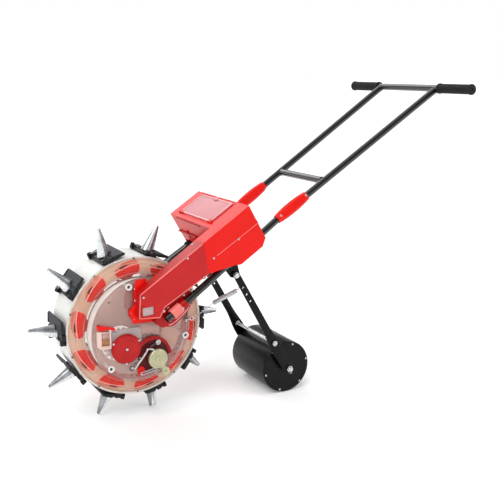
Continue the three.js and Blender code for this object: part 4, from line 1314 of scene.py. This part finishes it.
def lower_tubes():
    for label, side in SIDES:
        tube = pipe(lower_at(66, side), lower_at(572.5, side))
        add(f"{label}_lower_pipe", tube, TUBE_BLACK, space=SLOPE_FRAME, stands_for=f"{label}_lower_tube")
        refined(f"{label}_tube_clamp", DEEP_RED, bevel=1.2)
        start, end = lower_at(87, side), lower_at(121, side)
        band = [(11.6, 0), (15.6, 0), (16.2, 0.8), (16.2, 33.2), (15.6, 34), (11.6, 34)]
        add(f"{label}_saddle", laid(lathe(band, 48), start, end), ROSE_AND_HIGHLIGHT, space=SLOPE_FRAME)
        boat = rounded([
            (60, 9), (54, -15), (60, -30), (76, -40), (104, -38), (142, -31), (157, -19), (152, 15),
        ], 8)
        hull = plate(boat, *span(side, 113, 143), bevel=1.2)
        add(f"{label}_clamp_boat", hull, CAP_RED, space=SLOPE_FRAME)
        y = side * 147
        places = [(92, y, 19), (92, y, -19), (150, y, 17), (150, y, -14)]
        places.append((121, side * (between(LOWER_START, COUPLER_START, 121) + 15.6), 0))
        studs = [screw(place, (0, side, 0), 3.6, 2.4) for place in places]
        add(f"{label}_clamp_screws", joined(*studs), STEEL, space=SLOPE_FRAME)
        # A pale rod along the boat's edge paints the highlight on its rim.
        rim = [(63, -12), (64, -22), (74, -30), (98, -31), (132, -27), (148, -20), (155, -11)]
        rod = bent([(u, side * 143.6, v) for u, v in rim], 1.5, 10, 5)
        add(f"{label}_clamp_rim_highlight", rod, PAINTED_HIGHLIGHT_LINE, space=SLOPE_FRAME)


def coupler_skin(side):
    """A fluted spindle between two plain collars, hollow for the tubes."""
    start = Vector((COUPLER_START.x, side * COUPLER_START.y, 0))
    end = start + (Vector((COUPLER_END.x, side * COUPLER_END.y, 0)) - start) * 0.93
    length = (end - start).length
    stations, sides, flutes = 40, 96, 8
    rings = []
    for k in range(stations + 1):
        t = k / stations
        swell = math.sin(math.pi * min(1, max(0, (t - 0.04) / 0.92))) ** 0.7
        ring = []
        for i in range(sides):
            a = 360 * i / sides
            groove = max(0.0, math.cos(math.radians(a * flutes))) ** 3
            r = 14 + 4 * swell - 2.2 * groove * min(1, 1.6 * swell)
            x, z = on_circle(r, a)
            ring.append((x, t * length, z))
        rings.append(ring)
    for y in (length, 0):
        rings.append([(x, y, z) for x, z in circle(0, 0, 11.5, sides)])
    return laid(skinned(rings, closed=True), start, end)


def couplers():
    for label, side in SIDES:
        skin = coupler_skin(side)
        add(f"{label}_spindle", skin, RED, space=SLOPE_FRAME, smooth=50, stands_for=f"{label}_coupler")
        studs = []
        for u in (534, 636):
            y = side * between(COUPLER_START, COUPLER_END, u)
            for tilt in (60, 240):
                out = Vector((0, side * math.sin(math.radians(tilt)), math.cos(math.radians(tilt))))
                studs.append(screw(Vector((u, y, 0)) + out * 14.6, out, 3.6, 2.2))
        add(f"{label}_spindle_screws", joined(*studs), STEEL, space=SLOPE_FRAME)


def handle():
    reach = HANDLE_HALF - 8
    u_mid, u_top = MID_BAR.x, TOP_BAR.x
    pipes = [pipe(upper_at(578.5, s), upper_at(u_top - 6, s)) for s in (-1, 1)]
    pipes.append(pipe((u_mid, -MID_BAR.y + 9, 0), (u_mid, MID_BAR.y - 9, 0)))
    pipes.append(pipe((u_top, -reach, 0), (u_top, reach, 0)))
    for side in (-1, 1):
        pipes.append(weld((u_mid, side * (MID_BAR.y - 10.6), 0), (0, 1, 0), 11))
        pipes.append(weld((u_top - 10.4, upper_at(u_top, side).y, 0), (1, 0, 0), 11))
    add("handle_frame", joined(*pipes), TUBE_BLACK, space=SLOPE_FRAME, stands_for="upper_handle")


def grips():
    inner, outer = HANDLE_HALF - 148, HANDLE_HALF
    section = [
        (11.3, inner), (16.2, inner), (16.8, inner + 1), (16.8, inner + 5), (16.2, inner + 6),
        (15, inner + 7.5),
    ]
    pitch = 4.6
    y = inner + 9
    while y < outer - 12:
        section += [(14.5, y), (14.5, y + 0.6), (15.3, y + 1.2), (15.3, y + 3.6)]
        y += pitch
    section += [
        (15, outer - 9), (16.4, outer - 7.5), (16.8, outer - 6), (16.8, outer - 2.4), (16, outer - 0.6),
        (14, outer), (3, outer), (3, outer - 6), (11.3, outer - 6),
    ]
    grip = laid(lathe(section, 64), (TOP_BAR.x, 0, 0), (TOP_BAR.x, 1, 0))
    add("far_grip_sleeve", grip, RUBBER, space=SLOPE_FRAME, stands_for="far_grip")
    add("near_grip_sleeve", mirrored(grip), RUBBER, space=SLOPE_FRAME, stands_for="near_grip")


# ---------- press roller ----------

ARM_Y = 120.3
ROLLER_R = 83.2
ROLLER_HALF = 106.4
ROD = (432, -107)


def arm_brackets():
    for label, side in SIDES:
        refined(f"{label}_arm_bracket", ENAMEL, bevel=0.5)
        nut = hex_nut((PIVOT[0], side * (ARM_Y + 3.2), PIVOT[1]), (0, side, 0), 15, 6)
        y0, y1 = side * (ARM_Y + 2.7), side * (ARM_Y + 3.6)
        washer = disc(*PIVOT, [(0.1, y0), (9.4, y0), (9.4, y1), (0.1, y1)], 36)
        add(f"{label}_pivot_bolt", joined(nut, washer), STEEL)


def press_arms():
    px, pz = PIVOT
    rx, rz = ROLLER
    away = Vector((ROD[0] - px, ROD[1] - pz)).normalized()
    across = Vector((away.y, -away.x)) * 12
    neck = Vector((px, pz)) + away * (0.84 * (Vector(ROD) - Vector((px, pz))).length)
    corners = [
        (px - 13, pz + 6), (px - 4, pz + 13), (px + 9, pz + 9), tuple(neck - across),
        (ROD[0] + 17, ROD[1] + 4), (rx + 15, rz + 10), (rx + 14, rz - 10), (rx - 4, rz - 16),
        (rx - 18, rz - 6), (ROD[0] - 12, ROD[1] - 22), tuple(neck + across),
    ]
    outline = rounded(corners, [7, 7, 7, 24, 24, 12, 12, 12, 12, 24, 24], 6)
    holes = [circle(px, pz, 5.1, 32), circle(*ROD, 5.5, 32), circle(rx, rz, 6.6, 32)]
    holes += [circle(px + away.x * step, pz + away.y * step, 3.2, 24) for step in (48, 74, 100)]
    for label, side in SIDES:
        bar = plate(outline, *span(side, ARM_Y - 2.5, ARM_Y + 2.5), holes, 0.5)
        add(f"{label}_arm_plate", bar, ENAMEL, "press_arm", stands_for=f"{label}_press_arm")


def threaded(x, z, radius, y0, y1, pitch=1.75):
    section = [(radius - 0.8, y0)]
    y = y0 + 0.6
    while y < y1 - pitch:
        section += [(radius, y), (radius, y + pitch * 0.3), (radius - 0.7, y + pitch * 0.6)]
        y += pitch
    section += [(radius - 0.8, y1)]
    return disc(x, z, section, 28)


def cross_rods():
    inside, outside = ARM_Y - 2.8, ARM_Y + 2.8
    for name, (x, z), radius, across, reach, node in (
        ("tie_rod", ROD, 4.9, 16, ARM_Y + 12, "cross_rod"),
        ("axle_rod", ROLLER, 5.9, 19, ARM_Y + 16, "roller_axle"),
    ):
        parts = [threaded(x, z, radius, -reach, reach)]
        for side in (-1, 1):
            parts.append(hex_nut((x, side * outside, z), (0, side, 0), across, 6, radius))
            parts.append(hex_nut((x, side * inside, z), (0, -side, 0), across, 4, radius))
        add(name, joined(*parts), STEEL, "press_arm", stands_for=node)
    x, z = ROLLER
    pins = []
    for side in (-1, 1):
        y = side * (ARM_Y + 12.4)
        for legs in ([(-2, 12), (0, 8), (0, -8), (5, -13)], [(2, 12), (1, 8), (1, -8), (-4, -13)]):
            pins.append(bent([(x + dx, y, z + dz) for dx, dz in legs], 1, 8, 5))
    add("split_pins", joined(*pins), STEEL, "press_arm")


def press_roller():
    x, z = ROLLER
    half = ROLLER_HALF
    end = [
        (6.6, -half), (11.4, -half), (12, 0.6 - half), (12, 3.4 - half), (40, 3.2 - half),
        (70, 3 - half), (71.4, 2 - half), (79, 2 - half), (81.4, 2.8 - half), (82.8, 4.6 - half),
        (ROLLER_R, 7 - half),
    ]
    section = end + [(r, -y) for r, y in reversed(end)]
    barrel = moved(lathe(section, 160), shift(x, 0, z))
    add("roller_barrel", barrel, ENAMEL, "press_roller", smooth=28, stands_for="press_roller")
    studs = []
    for k in range(6):
        px, pz = on_circle(75.5, 12 + 60 * k, (x, z))
        studs += [screw((px, -half + 2, pz), NEAR, 3.4, 2), screw((px, half - 2, pz), FAR, 3.4, 2)]
    add("roller_screws", joined(*studs), STEEL, "press_roller")


# ---------- tension spring ----------


def tension_spring():
    eye = Vector((152, -119.5, 15))
    start, end = Vector((226, -116.5, 50.4)), Vector((305, -113.5, 76.4))
    away = Vector((ROD[0] - PIVOT[0], 0, ROD[1] - PIVOT[1])).normalized()
    hook_hole = Vector((PIVOT[0], -ARM_Y, PIVOT[1])) + away * 48
    body = coil(start, end, 7.2, 1.35, 29, 16)
    clear = (end - start).normalized() * 6
    near_hook = [eye + Vector(p) for p in ((-4, 0, 5), (-6, 0, -2), (2, 0, -5), (14, 0, 2))]
    bends = ((-12, 5, 0), (-2, 5, -1), (1, -1, 0), (0, -6, 2), (-7, -6, 1))
    far_hook = [hook_hole + Vector(p) for p in bends]
    lead = smooth_path([*near_hook, start - clear, body[0]], 6)
    tail = smooth_path([body[-1], end + clear, *far_hook], 6)
    wire = swept(lead[:-1] + body + tail[1:], 1.35, 10)
    spring = add("spring_wire", wire, STEEL, None, smooth=60, stands_for="press_spring")
    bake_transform(spring)
    return eye


def spring_eye(eye):
    ring = [(x, eye.y, z) for x, z in circle(eye.x, eye.z, 5.5, 32)]
    parts = [
        swept(ring, 1.6, 10, closed=True),
        swept([(eye.x - 5.5, eye.y, eye.z), (eye.x - 22, eye.y + 0.5, eye.z - 5)], 2.2, 12),
        hex_nut((eye.x - 17, eye.y + 0.4, eye.z - 3.6), (-1, 0, -0.3), 9, 4),
    ]
    add("spring_eye", joined(*parts), STEEL)
    stay = [(133, -119.5, 10), (136, -119.5, 24), (138, -120, 44)]
    add("spring_anchor", bent(stay, 2.2), DARK_STEEL)


# ---------- the whole object ----------

add_camera()
add_studio()

tread()
drum_covers()
seed_guides()
ring_gear()
mouths()

core_band()
core_plates()
tie_bolts()
metering()
idler()
wires()
sight_window()

chute()
hopper()
hopper_lid()

lower_tubes()
couplers()
handle()
grips()

arm_brackets()
press_arms()
cross_rods()
press_roller()
spring_eye(tension_spring())
